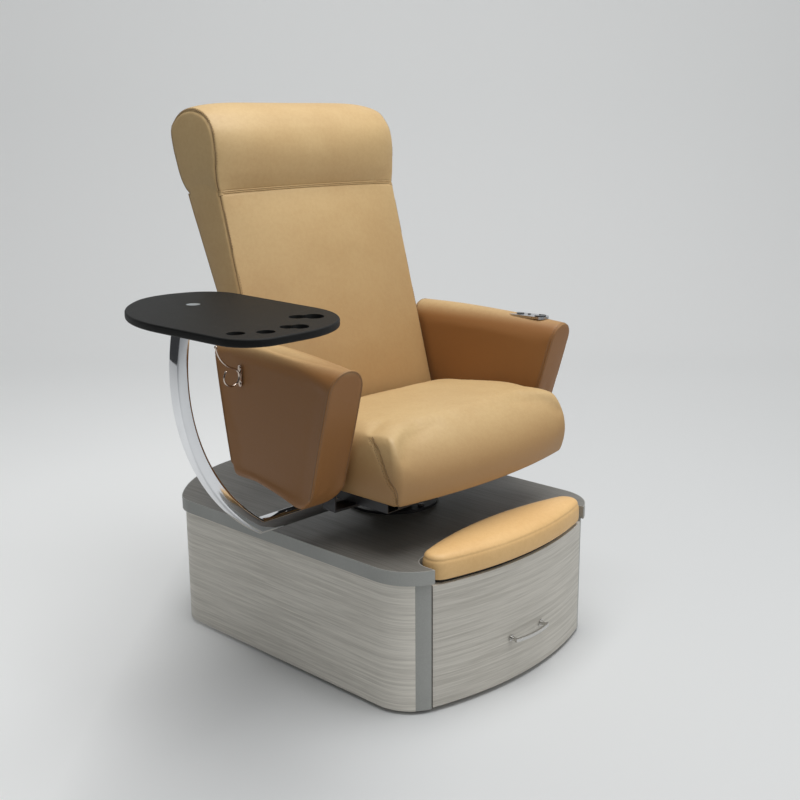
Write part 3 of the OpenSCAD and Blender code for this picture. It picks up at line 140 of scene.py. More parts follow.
class Sum:
    """A socket's value in an expression: each operator adds the Math node that works it out."""

    def __init__(self, recipe, socket):
        self.recipe = recipe
        self.socket = socket

    def _math(self, operation, *values):
        out = self.recipe.node("ShaderNodeMath", {"operation": operation}, dict(enumerate(values)))
        return Sum(self.recipe, out.outputs[0])

    def __add__(self, other):
        return self._math("ADD", self, other)

    def __sub__(self, other):
        return self._math("SUBTRACT", self, other)

    def __rsub__(self, other):
        return self._math("SUBTRACT", other, self)

    def __mul__(self, other):
        return self._math("MULTIPLY", self, other)

    def __rmul__(self, other):
        return self._math("MULTIPLY", other, self)

    def clamped(self):
        return self._math("MAXIMUM", self._math("MINIMUM", self, 1.0), 0.0)

    def ramp(self, low, high):
        """0 at low and 1 at high, with soft ends."""
        ends = {"Value": self, "From Min": low, "From Max": high}
        out = self.recipe.node("ShaderNodeMapRange", {"interpolation_type": "SMOOTHSTEP"}, ends)
        return Sum(self.recipe, out.outputs["Result"])


class Recipe:
    """A procedural material, built node by node on the piece's own Object coordinates."""

    def __init__(self, name, **fixed):
        self.material = bpy.data.materials.new(name)
        self.material.use_nodes = True
        self.tree = self.material.node_tree
        self.shader = next(n for n in self.tree.nodes if n.type == "BSDF_PRINCIPLED")
        for socket, value in fixed.items():
            target = self.shader.inputs[socket.replace("_", " ")]
            target.default_value = (*value, 1.0) if hasattr(value, "__len__") and len(value) == 3 else value

    def node(self, kind, choices=None, values=None):
        made = self.tree.nodes.new(kind)
        for key, value in (choices or {}).items():
            setattr(made, key, value)
        for key, value in (values or {}).items():
            socket = made.inputs[key]
            if isinstance(value, Sum):
                self.tree.links.new(value.socket, socket)
            elif isinstance(value, bpy.types.NodeSocket):
                self.tree.links.new(value, socket)
            else:
                socket.default_value = (*value, 1.0) if socket.type == "RGBA" and len(value) == 3 else value
        return made

    def place(self, scale=(1, 1, 1), turn=(0, 0, 0), shift=(0, 0, 0)):
        """Object coordinates, scaled and turned."""
        own = self.node("ShaderNodeTexCoord").outputs["Object"]
        values = {"Vector": own, "Scale": scale, "Rotation": turn, "Location": shift}
        return self.node("ShaderNodeMapping", None, values).outputs[0]

    def noise(self, size, detail=3.0, rough=0.5, stretch=(1, 1, 1), turn=(0, 0, 0), shift=(0, 0, 0), bend=0.0):
        """Soft noise between about 0.3 and 0.7 whose patches are size metres wide."""
        scale = tuple(s / size for s in stretch)
        values = {"Vector": self.place(scale, turn, shift), "Scale": 1.0, "Detail": detail}
        values.update(Roughness=rough, Distortion=bend)
        return Sum(self, self.node("ShaderNodeTexNoise", None, values).outputs["Fac"])

    def cells(self, size):
        """Rounded cells size metres wide."""
        values = {"Vector": self.place((1 / size,) * 3), "Scale": 1.0}
        out = self.node("ShaderNodeTexVoronoi", {"feature": "SMOOTH_F1"}, values)
        return Sum(self, out.outputs["Distance"])

    def along(self, axis):
        """One Object coordinate, in metres."""
        own = self.node("ShaderNodeTexCoord").outputs["Object"]
        parts = self.node("ShaderNodeSeparateXYZ", None, {0: own})
        return Sum(self, parts.outputs[axis])

    def mix(self, share, low, high):
        return self.node("ShaderNodeMix", {"data_type": "RGBA"}, {0: share, 6: low, 7: high}).outputs[2]

    def feed(self, socket, value):
        self.tree.links.new(value.socket if isinstance(value, Sum) else value, self.shader.inputs[socket])

    def bump(self, *layers):
        """Each layer is (height between 0 and 1, depth in metres)."""
        under = None
        for height, depth in layers:
            values = {"Height": height, "Distance": depth, "Strength": 1.0}
            if under:
                values["Normal"] = under
            under = self.node("ShaderNodeBump", None, values).outputs[0]
        self.feed("Normal", under)

    def done(self, colour, rough, *layers):
        """The finished material, from its colour, its roughness and its bump layers."""
        self.feed("Base Color", colour)
        self.feed("Roughness", rough)
        self.bump(*layers)
        return self.material


def dimmed(colour, share):
    """A colour times a share, which is one number or one for each channel."""
    shares = share if isinstance(share, tuple) else (share,) * 3
    return tuple(c * part for c, part in zip(colour, shares))


def lifted(colour, gain, more):
    return tuple(min(1.0, c * gain + more) for c in colour)


def leather(name, painted_light_heights=(0.0, 0.01), wear_and_painted_light=1.0, start=0.22, tint=1.0, depth=1.0):
    """Soft vinyl leather: a fine pebble grain, broad mottling and a little polish on its high spots. Light and
    shade are painted into its colour by height: under the first of the two heights it has the dark colour as
    painted shade, lightened towards the pale one by the share start, and over the second it goes towards the
    pale colour by the third argument's share, as painted light on its top. tint and depth are this piece's own
    shares of the two leather colours: a tint over one makes a lighter copy as painted light, a depth under one
    a darker copy as painted shade."""
    up = settings().upholstery
    pale, deep = dimmed(up.colour, tint), dimmed(up.dark, depth)
    r = Recipe(name, IOR=1.46)
    pebbles = r.cells(up.grain)
    creases = r.noise(up.grain * 4.5, 4.0, 0.6)
    cloud = r.noise(0.16, 3.0, 0.55)
    fleck = r.noise(0.011, 4.0, 0.62)
    tone = cloud.ramp(0.3, 0.72) * 0.16 + fleck.ramp(0.36, 0.66) * 0.10 + pebbles.ramp(0.25, 0.8) * 0.10
    # Painted light and shade by height: low on a piece the leather is darkened as painted shade, and over the
    # upper height it is paler as painted light on its top.
    painted_light_share = r.along(2).ramp(*painted_light_heights) * wear_and_painted_light
    base = r.mix(painted_light_share, tuple(lerp(d, c, start) for c, d in zip(pale, deep)), pale)
    colour = r.mix(tone.clamped(), base, deep)
    rough = creases * 0.14 + pebbles * 0.10 + (up.roughness - 0.10)
    return r.done(colour, rough, (cloud, 0.0012), (creases, 0.00022), (pebbles, 0.00016))


def laminate(name, light, dark, turn=0.0, level=True, sheen=0.42):
    """Linear laminate: long wavy streaks of uneven length, with finer hairlines between them."""
    b = settings().base
    r = Recipe(name, IOR=1.48)
    long, mid, short = [(1, 1, n) if level else (n, 1, 1) for n in (46, 60, 26)]
    broad = r.noise(b.streak * 50, 3.0, 0.6, long, (0, turn, 0), bend=0.35)
    fine = r.noise(b.streak * 22, 4.0, 0.68, mid, (0, turn, 0), (3.1, 1.7, 0.4), bend=0.25)
    hair = r.noise(b.streak * 7, 3.0, 0.6, short, (0, turn, 0), (7.3, 2.2, 5.5), bend=0.1)
    streaks = broad.ramp(0.33, 0.66) * 0.5 + fine.ramp(0.34, 0.66) * 0.36 + hair.ramp(0.3, 0.7) * 0.14
    streaks = streaks.clamped()
    drift = r.noise(0.45, 2.0)
    shade = r.mix(streaks, dark, light)
    colour = r.mix(drift.ramp(0.3, 0.7) * 0.18, shade, dimmed(light, 0.86))
    return r.done(colour, 0.12 * (1 - streaks) + sheen, (streaks, 0.00012))


def plain_grey(name, colour, rough=0.5):
    """Plain grey laminate with a faint fleck and rubbed patches."""
    r = Recipe(name, IOR=1.48)
    fleck = r.noise(0.004, 3.0, 0.6)
    cloud = r.noise(0.12, 2.0)
    share = fleck.ramp(0.3, 0.7) * 0.35 + cloud.ramp(0.3, 0.7) * 0.3
    tone = r.mix(share, dimmed(colour, 1.06), dimmed(colour, 0.85))
    return r.done(tone, cloud * 0.2 + (rough - 0.1), (fleck, 0.00005))


def wood(name, light, dark, size=0.02, axis=1):
    """Sawn board with growth rings drawn out along one axis."""
    r = Recipe(name, IOR=1.45)
    stretch = tuple(0.6 if m == axis else 6.0 for m in range(3))
    rings = r.noise(size, 4.0, 0.6, stretch, bend=0.8)
    pores = r.noise(size * 0.1, 2.0, 0.5, stretch)
    share = rings.ramp(0.3, 0.7) * 0.7 + pores.ramp(0.4, 0.7) * 0.3
    return r.done(r.mix(share.clamped(), light, dark), pores * 0.2 + 0.5, (pores, 0.0001), (rings, 0.0001))


def painted_metal(name, colour, rough):
    """Powder coat with a fine orange peel and patches of dust."""
    r = Recipe(name, IOR=1.5)
    skin = r.noise(0.0035, 2.0, 0.5)
    dust = r.noise(0.06, 4.0, 0.6)
    tone = r.mix(dust.ramp(0.45, 0.75) * 0.3, colour, lifted(colour, 1.8, 0.02))
    return r.done(tone, dust * 0.2 + (rough - 0.1), (skin, 0.00012))


def bright_metal(name, colour, rough=0.08, brushed=0.0, smear=0.06):
    """Polished or satin metal with faint smears and, where it is brushed, hairlines along Z."""
    r = Recipe(name, Metallic=1.0)
    smears = r.noise(0.07, 4.0, 0.65)
    dirt = r.noise(0.012, 3.0, 0.6)
    share = smears.ramp(0.4, 0.75) * 0.18 + dirt.ramp(0.5, 0.8) * 0.1
    dull = smears.ramp(0.35, 0.75) * smear + dirt.ramp(0.5, 0.8) * smear * 0.5 + rough
    relief = (r.noise(0.02, 2.0, 0.6, (40, 40, 1)), brushed) if brushed else (smears, 0.00002)
    return r.done(r.mix(share, colour, dimmed(colour, 0.80)), dull, relief)


def moulded(name, colour, rough=0.5, grain=0.0012, depth=0.00012, coat=0.0, shine=0.5):
    """Moulded plastic with a sandblasted grain and scuffs that catch the light."""
    r = Recipe(name, IOR=1.49, Coat_Weight=coat, Coat_Roughness=0.2, Specular_IOR_Level=shine)
    sand = r.noise(grain, 3.0, 0.7)
    scuff = r.noise(0.03, 5.0, 0.7, (1, 5, 1), (0, 0, 0.6))
    wear_and_painted_light = scuff.ramp(0.55, 0.75)
    tone = r.mix(wear_and_painted_light * 0.25, colour, lifted(colour, 1.5, 0.012))
    return r.done(tone, sand * 0.14 - wear_and_painted_light * 0.08 + (rough - 0.05), (sand, depth))


def glazed(name, colour):
    """White acrylic of the basin: glossy, faintly uneven, with patches of dull film."""
    r = Recipe(name, IOR=1.49, Coat_Weight=0.4, Coat_Roughness=0.05)
    wave = r.noise(0.09, 2.0)
    film = r.noise(0.02, 4.0, 0.6)
    tone = r.mix(film.ramp(0.45, 0.75) * 0.15, colour, dimmed(colour, 0.88))
    return r.done(tone, film * 0.2 + 0.1, (wave, 0.0002))


def thread(name):
    """Twisted thread, with its plies across the stitch."""
    up = settings().upholstery
    r = Recipe(name)
    plies = r.noise(0.0016, 2.0)
    colour = r.mix(plies.ramp(0.35, 0.65) * 0.6, tuple(up.thread), dimmed(up.thread, 0.62))
    return r.done(colour, plies * 0.2 + 0.6, (plies, 0.0002))


def finish(names, material):
    """Gives CAD nodes their material."""
    for name in names:
        mesh = NODES[name].data
        mesh.materials.clear()
        mesh.materials.append(material)


# ---------------------------------------------------------------- form helpers


def lerp(a, b, t):
    return a + (b - a) * t


def clamp(t, low=0.0, high=1.0):
    return max(low, min(high, t))


def bell(x, width):
    return exp(-((x / width) ** 2))


def track(t, *stops):
    """A smooth curve through stops (t, value), level with its neighbours' slope and flat at both ends."""
    if t <= stops[0][0]:
        return stops[0][1]
    if t >= stops[-1][0]:
        return stops[-1][1]
    n = next(m for m in range(1, len(stops)) if t <= stops[m][0])
    slope = [0.0] * len(stops)
    for m in range(len(stops)):
        lo, hi = max(0, m - 1), min(len(stops) - 1, m + 1)
        slope[m] = (stops[hi][1] - stops[lo][1]) / (stops[hi][0] - stops[lo][0])
    (t0, v0), (t1, v1) = stops[n - 1], stops[n]
    d = t1 - t0
    s = (t - t0) / d
    return (
        v0 * (1 + 2 * s) * (1 - s) ** 2
        + slope[n - 1] * d * s * (1 - s) ** 2
        + v1 * s * s * (3 - 2 * s)
        - slope[n] * d * s * s * (1 - s)
    )


def spread(low, high, step, edge):
    """Grid lines from low to high about step apart, with closer ones at the distances edge from each end."""
    *close, last = (0, *edge)
    first, final = low + last, high - last
    count = round((final - first) / step)
    middle = [lerp(first, final, m / count) for m in range(count + 1)]
    return [low + e for e in close] + middle + [high - e for e in reversed(close)]


def walk(u, v, x0, x1, y0, y1, radius, share):
    """A point of a rounded rectangle for a point on the unit square's edge. radius and share are for the
    corners (x0, y0), (x1, y0), (x1, y1) and (x0, y1): a share is how much of a side's grid half the corner
    takes, along x and along y."""
    centre = ((x0, y0, -1, -1), (x1, y0, 1, -1), (x1, y1, 1, 1), (x0, y1, -1, 1))
    if v in (0.0, 1.0):
        axis, along, low, high = 0, u, (0 if v == 0.0 else 3), (1 if v == 0.0 else 2)
    else:
        axis, along, low, high = 1, v, (0 if u == 0.0 else 1), (3 if u == 0.0 else 2)
    a, b = share[low][axis], share[high][axis]
    if along < a:
        corner, turn = low, 45 * (1 - along / a)
    elif along > 1 - b:
        corner, turn = high, 45 * (1 - (1 - along) / b)
    else:
        s = (along - a) / max(1e-9, 1 - a - b)
        if axis == 0:
            return lerp(x0 + radius[low], x1 - radius[high], s), (y0 if v == 0.0 else y1)
        return (x0 if u == 0.0 else x1), lerp(y0 + radius[low], y1 - radius[high], s)
    x, y, sx, sy = centre[corner]
    r = radius[corner]
    far, near = r * (1 - sin(radians(turn))), r * (1 - cos(radians(turn)))
    return (x - sx * far, y - sy * near) if axis == 0 else (x - sx * near, y - sy * far)


def block(name, size, place):
    """A closed skin of size = (nx, ny, nz) quads, each vertex put where place(i, j, k) says, in mm."""
    bm = bmesh.new()
    bmesh.ops.create_cube(bm, size=2.0)
    for axis in range(3):
        run = [e for e in bm.edges if abs(e.verts[0].co[axis] - e.verts[1].co[axis]) > 1e-6]
        bmesh.ops.subdivide_edges(bm, edges=run, cuts=size[axis] - 1, use_grid_fill=True)
    for v in bm.verts:
        cell = tuple(round((v.co[m] + 1) / 2 * size[m]) for m in range(3))
        v.co = Vector(place(*cell)) * MM
    bmesh.ops.recalc_face_normals(bm, faces=bm.faces)
    return to_object(name, bm)


def to_object(name, bm):
    for face in bm.faces:
        face.smooth = True
    mesh = bpy.data.meshes.new(name)
    bm.to_mesh(mesh)
    bm.free()
    piece = bpy.data.objects.new(name, mesh)
    bpy.context.scene.collection.objects.link(piece)
    return piece


def with_ends(side, size, axis, swell=lambda u, v, high: Vector((0, 0, 0))):
    """Closes a sleeve of skin: each end is a patch stretched between its four edges, swollen as swell says."""
    a, b = [m for m in range(3) if m != axis]

    def place(*cell):
        if cell[axis] not in (0, size[axis]) or cell[a] in (0, size[a]) or cell[b] in (0, size[b]):
            return side(*cell)
        u, v = cell[a] / size[a], cell[b] / size[b]

        def at(p, q):
            spot = list(cell)
            spot[a], spot[b] = p, q
            return Vector(side(*spot))

        top_a, top_b, p, q = size[a], size[b], cell[a], cell[b]
        patch = (
            (1 - v) * at(p, 0) + v * at(p, top_b) + (1 - u) * at(0, q) + u * at(top_a, q)
            - (1 - u) * (1 - v) * at(0, 0) - u * (1 - v) * at(top_a, 0)
            - (1 - u) * v * at(0, top_b) - u * v * at(top_a, top_b)
        )
        return patch + swell(u, v, cell[axis] > 0)

    return place


def settle(piece):
    """Applies a piece's modifiers."""
    bpy.context.view_layer.update()
    done = bpy.data.meshes.new_from_object(piece.evaluated_get(bpy.context.evaluated_depsgraph_get()))
    done.name = piece.name
    piece.modifiers.clear()
    piece.data = done
    for poly in done.polygons:
        poly.use_smooth = True


def plump(piece, held, cap):
    """The filling swells the cover under a little pressure while its seams are held; cap limits each point."""
    up = settings().upholstery
    group = piece.vertex_groups.new(name="held")
    group.add([v.index for v in piece.data.vertices if held(v.co)], 1.0, "REPLACE")
    cloth = piece.modifiers.new("swell", "CLOTH")
    how = cloth.settings
    how.quality = 6
    how.mass = 0.35
    how.tension_stiffness = how.compression_stiffness = 22
    how.shear_stiffness = 12
    how.bending_stiffness = 3.0
    how.use_pressure = True
    how.uniform_pressure_force = up.puff
    how.effector_weights.gravity = 0
    how.vertex_group_mass = "held"
    cloth.collision_settings.use_collision = False
    cloth.point_cache.frame_start = 1
    cloth.point_cache.frame_end = up.frames
    scene = bpy.context.scene
    for step in range(1, up.frames + 1):
        scene.frame_set(step)
    swollen = piece.evaluated_get(bpy.context.evaluated_depsgraph_get()).to_mesh()
    moved = [v.co.copy() for v in swollen.vertices]
    piece.modifiers.clear()
    rest = [v.co.copy() for v in piece.data.vertices]
    for spot, new in zip(rest, moved):
        step = new - spot
        if step.length > cap:
            step *= cap / step.length
        spot += step
    piece.data.vertices.foreach_set("co", [c for spot in rest for c in spot])
    piece.data.update()
    piece.vertex_groups.clear()
    scene.frame_set(1)


def refine(piece):
    sub = piece.modifiers.new("round", "SUBSURF")
    sub.levels = sub.render_levels = 1
    settle(piece)


def near(points):
    """A tree that finds the nearest of the points."""
    tree = KDTree(len(points))
    for n, p in enumerate(points):
        tree.insert(p, n)
    tree.balance()
    return tree


def every(path, step):
    """Points step apart along a path, each with its direction."""
    out, left = [], 0.0
    for a, b in zip(path, path[1:]):
        run = (b - a).length
        while left <= run and run > 0:
            out.append((a.lerp(b, left / run), (b - a).normalized()))
            left += step
        left -= run
    return out


def lay(piece, path, proud=0.0):
    """The path laid on the piece's surface, as (point, normal)."""
    mesh = piece.data
    tree = BVHTree.FromPolygons([v.co for v in mesh.vertices], [p.vertices for p in mesh.polygons])
    hits = [tree.find_nearest(p)[:2] for p in path]
    return [(spot + normal * proud, normal) for spot, normal in hits]


def lay_again(piece, row, proud=0.0003):
    """A laid row that was moved, laid once more."""
    return lay(piece, [p for p, _ in row], proud)


def press(piece, path, depth, width):
    """Presses a seam's valley into a cover along the path."""
    tree = near([p for p, _ in every(path, 0.002)])
    mesh = piece.data
    spots = [v.co.copy() for v in mesh.vertices]
    normals = [v.normal.copy() for v in mesh.vertices]
    for spot, normal in zip(spots, normals):
        gap = tree.find(spot)[2]
        if gap < width:
            spot -= normal * depth * (1 - (gap / width) ** 1.2) ** 2
    mesh.vertices.foreach_set("co", [c for spot in spots for c in spot])
    mesh.update()


def sew(cover, valleys, floor, reach, cap):
    """Plumps a cover that is held under the height floor and within reach of its seams, rounds it and presses
    the seams in. Each of valleys is (path, depth, half width)."""
    tree = near([p for path, _, _ in valleys for p in path])
    plump(cover, lambda p: p.z < floor or tree.find(p)[2] < reach, cap)
    refine(cover)
    for path, depth, width in valleys:
        press(cover, path, depth, width)


def push_rings(bm, rings):
    """Pushes one ring of edges out through the rings that follow, and closes both ends."""
    count = len(rings[0])
    ring = [bm.verts.new(p) for p in rings[0]]
    loop = [bm.edges.new((ring[m], ring[(m + 1) % count])) for m in range(count)]
    bm.faces.new(list(reversed(ring)))
    for spots in rings[1:]:
        made = bmesh.ops.extrude_edge_only(bm, edges=loop)["geom"]
        order = {v.co.to_tuple(9): v for v in only(made, bmesh.types.BMVert)}
        ring = [order[v.co.to_tuple(9)] for v in ring]
        for v, p in zip(ring, spots):
            v.co = p
        loop = [e for e in only(made, bmesh.types.BMEdge) if e.verts[0] in ring and e.verts[1] in ring]
    bm.faces.new(ring)
    bmesh.ops.recalc_face_normals(bm, faces=bm.faces)
    in_order(bm)


def only(made, kind):
    """The elements of one kind among what a bmesh operator made."""
    return [g for g in made if isinstance(g, kind)]


def in_order(bm):
    """Sorts points and faces, because an operator may add them in another order at each run."""
    slant = Vector((1.0, 0.7310585, 0.4142135))
    bm.verts.sort(key=lambda v: v.co.dot(slant))
    bm.verts.index_update()
    count = len(bm.verts)

    def rank(face):
        found = [v.index for v in face.verts]
        return max(found) * count + min(found)

    bm.faces.sort(key=rank)


def prism(bm, spots, height):
    """Raises a level face through spots by height."""
    face = bm.faces.new([bm.verts.new(p) for p in spots])
    top = bmesh.ops.extrude_face_region(bm, geom=[face])["geom"]
    bmesh.ops.translate(bm, verts=only(top, bmesh.types.BMVert), vec=(0, 0, height))
    bmesh.ops.recalc_face_normals(bm, faces=bm.faces)
    in_order(bm)


def sharp_by_angle(piece, angle):
    """Marks edges that turn more than angle as sharp, so that only the round ones are shaded smooth."""
    bm = bmesh.new()
    bm.from_mesh(piece.data)
    for e in bm.edges:
        e.smooth = e.calc_face_angle(0) < radians(angle)
    bm.to_mesh(piece.data)
    bm.free()


def tube_rings(points, radius, sides):
    """The rings of a round tube along points."""
    up = Vector((0.13, 0.21, 0.97))
    turns = [2 * pi * m / sides for m in range(sides)]
    rings = []
    for n, p in enumerate(points):
        along = (points[min(len(points) - 1, n + 1)] - points[max(0, n - 1)]).normalized()
        across = along.cross(up).normalized()
        other = across.cross(along)
        rings.append([p + radius * (cos(a) * across + sin(a) * other) for a in turns])
    return rings


def ride_on(piece, body, material):
    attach(piece, body)
    piece.data.materials.clear()
    piece.data.materials.append(material)
    return piece


def cords(name, rows, radius, body, material, sides=6):
    """Tubes along several laid rows, as one piece: sewn cords, piping, and the thin dark lines of painted shade
    along seams.
    """
    bm = bmesh.new()
    for row in rows:
        push_rings(bm, tube_rings([p for p, _ in row], radius, sides))
    return ride_on(to_object(name, bm), body, material)


def stitches(name, rows, body, material):
    """Rows of single stitches: each row is a list of (point, normal) along a seam."""
    up = settings().upholstery
    bm = bmesh.new()
    for row in rows:
        line = [p for p, _ in row]
        tree = near(line)
        for spot, along in every(line, up.pitch):
            normal = row[tree.find(spot)[1]][1]
            across = along.cross(normal).normalized()
            turn = Matrix((across, along, across.cross(along))).transposed().to_4x4()
            size = Matrix.Diagonal((THREAD_R, up.stitch / 2, THREAD_R, 1))
            place = Matrix.Translation(spot) @ turn @ size
            bmesh.ops.create_icosphere(bm, subdivisions=1, radius=1.0, matrix=place)
    bmesh.ops.recalc_face_normals(bm, faces=bm.faces)
    return ride_on(to_object(name, bm), body, material)


def shifted(row, shift):
    """A laid row moved sideways along the surface by shift metres, to the left of its direction."""
    out = []
    for n, (p, normal) in enumerate(row):
        a, b = row[max(0, n - 1)][0], row[min(len(row) - 1, n + 1)][0]
        out.append((p + normal.cross(b - a).normalized() * shift, normal))
    return out


def proud(row, height):
    return [(p + n * height, n) for p, n in row]


def tapered(row, shift):
    """A laid row moved sideways by up to shift at its far end and not at all at its near end."""
    out = []
    for n, ((p, normal), (q, _)) in enumerate(zip(row, shifted(row, shift))):
        out.append((p.lerp(q, sin(pi / 2 * min(1, 1.5 * n / len(row)))), normal))
    return out


def mm(points):
    return [Vector(p) * MM for p in points]


# ---------------------------------------------------------------- seat cover

SEAT_Z, SEAT_W, SEAT_FRONT, SEAT_REAR = 522.0, 680.0, 340.0, 112.0
SEAT_BOW, SEAT_BULGE, SEAT_DOME = 38, 14, 15


def seat_point(u, v, h):
    """A point of the seat's side skin: u across, v from front to rear, h up the side from 0 to 1."""
    f = track(
        h, (0, 0.0), (0.05, 0.012), (0.12, 0.05), (0.3, 0.2), (0.45, 0.39), (0.6, 0.60), (0.72, 0.78),
        (0.81, 0.89), (0.89, 0.955), (0.95, 0.985), (1, 1.0),
    )
    d = track(
        h, (0, 8.0), (0.05, 3.0), (0.12, 0.8), (0.3, 0.0), (0.45, 0.0), (0.6, 0.4), (0.72, 1.4), (0.81, 3.0),
        (0.89, 5.6), (0.95, 9), (1, 15),
    )
    front = track(f, (0, 12), (0.25, 16), (0.5, 20), (0.8, 22), (1, 24))
    hx = SEAT_W / 2 - d
    shares = ((0.1, 0.13), (0.1, 0.13), (0.06, 0.07), (0.06, 0.07))
    x, y = walk(u, v, -hx, hx, d - SEAT_FRONT, SEAT_REAR - d, (front, front, 26, 26), shares)
    bulge = sin(pi * min(1, f))
    share = (y + SEAT_FRONT) / (SEAT_FRONT + SEAT_REAR)
    across = 2 * x / SEAT_W
    thick = track(share, (0, 165), (0.06, 169), (0.16, 172), (0.38, 168), (0.7, 154), (1, 140))
    y -= (1 - share) ** 2 * ((1 - across ** 2) * SEAT_BOW + SEAT_BULGE * bulge - 6 * f * f)
    fall = track(h, (0.3, 0), (0.45, 4), (0.6, 13), (0.72, 25), (0.81, 37), (0.89, 48), (1, 58))
    y += fall * (1 - abs(across) ** 6) * clamp(1 - share / 0.2) ** 2
    dome = SEAT_DOME * (1 - across ** 2) * f ** 3 * clamp(share / 0.3)
    return Vector((x * (1 + 0.028 * bulge), y, SEAT_Z + f * thick + dome))


def seat_cover():
    size = (60, 42, 26)

    def side(i, j, k):
        return seat_point(i / size[0], j / size[1], k / size[2])

    def crown(u, v, high):
        dome = (1 - abs(2 * u - 1) ** 5) * (1 - abs(2 * v - 1) ** 2.4)
        return Vector((0, 0, 10 * dome if high else 0))

    cover = block("seat_cover", size, with_ends(side, size, 2, crown))
    darts = []
    for s in (-1, 1):
        darts.append(mm([seat_point(0.5 + s * 0.5, v, h) for v, h in seat_dart()]))
    sew(cover, [(d, 0.0042, 0.009) for d in darts], 0.527, 0.008, settings().upholstery.swell)
    return cover, darts


def seat_dart():
    """The dart's way from the bottom front corner up and back, as (v, h) on the seat's side skin."""
    rise = [lerp(0.03, 0.84, m / 30) for m in range(31)]
    stops = ((0.03, 0), (0.3, 0.07), (0.435, 0.15), (0.56, 0.18), (0.7, 0.21), (0.84, 0.258))
    return [(track(h, *stops), h) for h in rise]


# ---------------------------------------------------------------- back cover

BACK_X, LOW_Z, BAND_Z = 332.0, 640.0, 1250.0
FRONT_Y, FRONT_LEAN = 138.0, 0.27213
REAR_Y, REAR_LEAN = 185.5, 0.42623


def back_front(z):
    """Front face of the back at its side seam: y for a height."""
    if z < 1205:
        return FRONT_Y + FRONT_LEAN * (z - LOW_Z)
    return track(
        z, (1180, 284.9), (1205, 291.8), (1235, 299.5), (1250, 302.5), (1262, 306), (1280, 307), (1311, 308),
        (1356, 308), (1388, 312), (1417, 322), (1436, 336), (1450, 352),
    )


def back_rear(z):
    """Rear face of the back: y for a height."""
    if z < 1200:
        return REAR_Y + REAR_LEAN * (z - LOW_Z)
    return track(
        z, (1180, 415.7), (1200, 424.2), (1240, 441), (1258, 458), (1275, 468), (1305, 480), (1331, 488),
        (1357, 497), (1388, 504), (1414, 508), (1436, 499), (1450, 484),
    )


def back_arch(t):
    """The pillow's arch over its top at the side seam, from the front shoulder at 0 to the rear one at 1."""
    y = track(t, (0, 336), (0.14, 348), (0.3, 370), (0.5, 408), (0.68, 444), (0.85, 474), (1, 494))
    z = track(t, (0, 1436), (0.14, 1449), (0.3, 1462), (0.5, 1471), (0.68, 1467), (0.85, 1454), (1, 1436))
    return y, z


BACK_LEVELS = [640, 643, 648, 656] + [668 + 11.5 * m for m in range(48)]
BACK_LEVELS += [BAND_Z + dz for dz in (-31, -22, -15, -10, -6, -3, 0, 3, 6, 10, 16, 24, 34)]
BACK_LEVELS += [1295 + 11.7 * m for m in range(12)] + [1436]
BACK_COLUMNS = spread(-BACK_X, BACK_X, 11.0, (2.5, 6, 11, 18))


def side_swell(z):
    """How far the head pillow swells out sideways over the seam under it."""
    return 7.0 * track(z, (1250, 0), (1262, 0.35), (1285, 0.8), (1330, 1), (1400, 0.9), (1436, 0.6))


def back_crown(z):
    """How far the main panel swells in its middle."""
    return track(
        z, (640, 5), (670, 13), (750, 19), (1000, 21), (1180, 20), (1235, 13), (1250, 9), (1266, 15),
        (1300, 23), (1400, 26), (1436, 24),
    )


def back_point(x, j, k, size):
    """A point of the main panel, which wraps the front, top and rear of the back."""
    u = x / BACK_X
    level = BACK_LEVELS[k]
    pillow = track(level, (1240, 0), (1300, 1))
    swell = lerp(1 - u * u, 1 - abs(u) ** 6, pillow)
    edge = BACK_X - abs(x)
    x += side_swell(level) * u * abs(u) ** 5
    roll = 5.5 * (1 - sqrt(1 - (1 - clamp(edge / 9.0)) ** 2))
    if j == 0:
        z = level + 5 * swell * bell(level - BAND_Z, 60)
        under = 3.0 * bell(level - BAND_Z, 6.5)
        return Vector((x, back_front(level) - back_crown(level) * swell + roll + under, z))
    if k == size[2]:
        t = j / size[1]
        y, z = back_arch(t)
        y += swell * (6 * t * t - 24 * (1 - t) ** 2)
        return Vector((x, y, z + 16 * swell * sin(pi * t) ** 0.8 - roll))
    if j == size[1]:
        flat = track(level, (1240, 0), (1300, 4), (1436, 6))
        lip = 10.3 if edge < 5 and level < 1243 else 0
        return Vector((x, back_rear(level) + flat * swell - roll + lip, level))
    t = j / size[1]
    return Vector((x, lerp(back_front(LOW_Z) - 5 * swell + roll, back_rear(LOW_Z) - roll, t), LOW_Z))


def back_cover():
    size = (len(BACK_COLUMNS) - 1, 14, len(BACK_LEVELS) - 1)

    def side(i, j, k):
        return back_point(BACK_COLUMNS[i], j, k, size)

    def cheek(u, v, high):
        dome = (1 - abs(2 * u - 1) ** 3) * (1 - abs(2 * v - 1) ** 6)
        return Vector(((4.0 if high else -4.0) * dome, 0, 0))

    cover = block("back_cover", size, with_ends(side, size, 0, cheek))
    seams = []
    for s in (-1, 1):
        x = s * BACK_X
        front = [back_point(x, 0, k, size) for k in range(2, size[2] + 1)]
        top = [back_point(x, j, size[2], size) for j in range(1, size[1])]
        rear = [back_point(x, size[1], k, size) for k in range(size[2], 2, -1)]
        seams.append(mm(front + top + rear))
    band = mm([back_point(x, 0, BACK_LEVELS.index(BAND_Z), size) for x in BACK_COLUMNS])
    sew(cover, [(s, 0.0040, 0.008) for s in seams] + [(band, 0.0022, 0.010)], 0.644, 0.007, 0.007)
    return cover, seams, band


# ---------------------------------------------------------------- arm covers

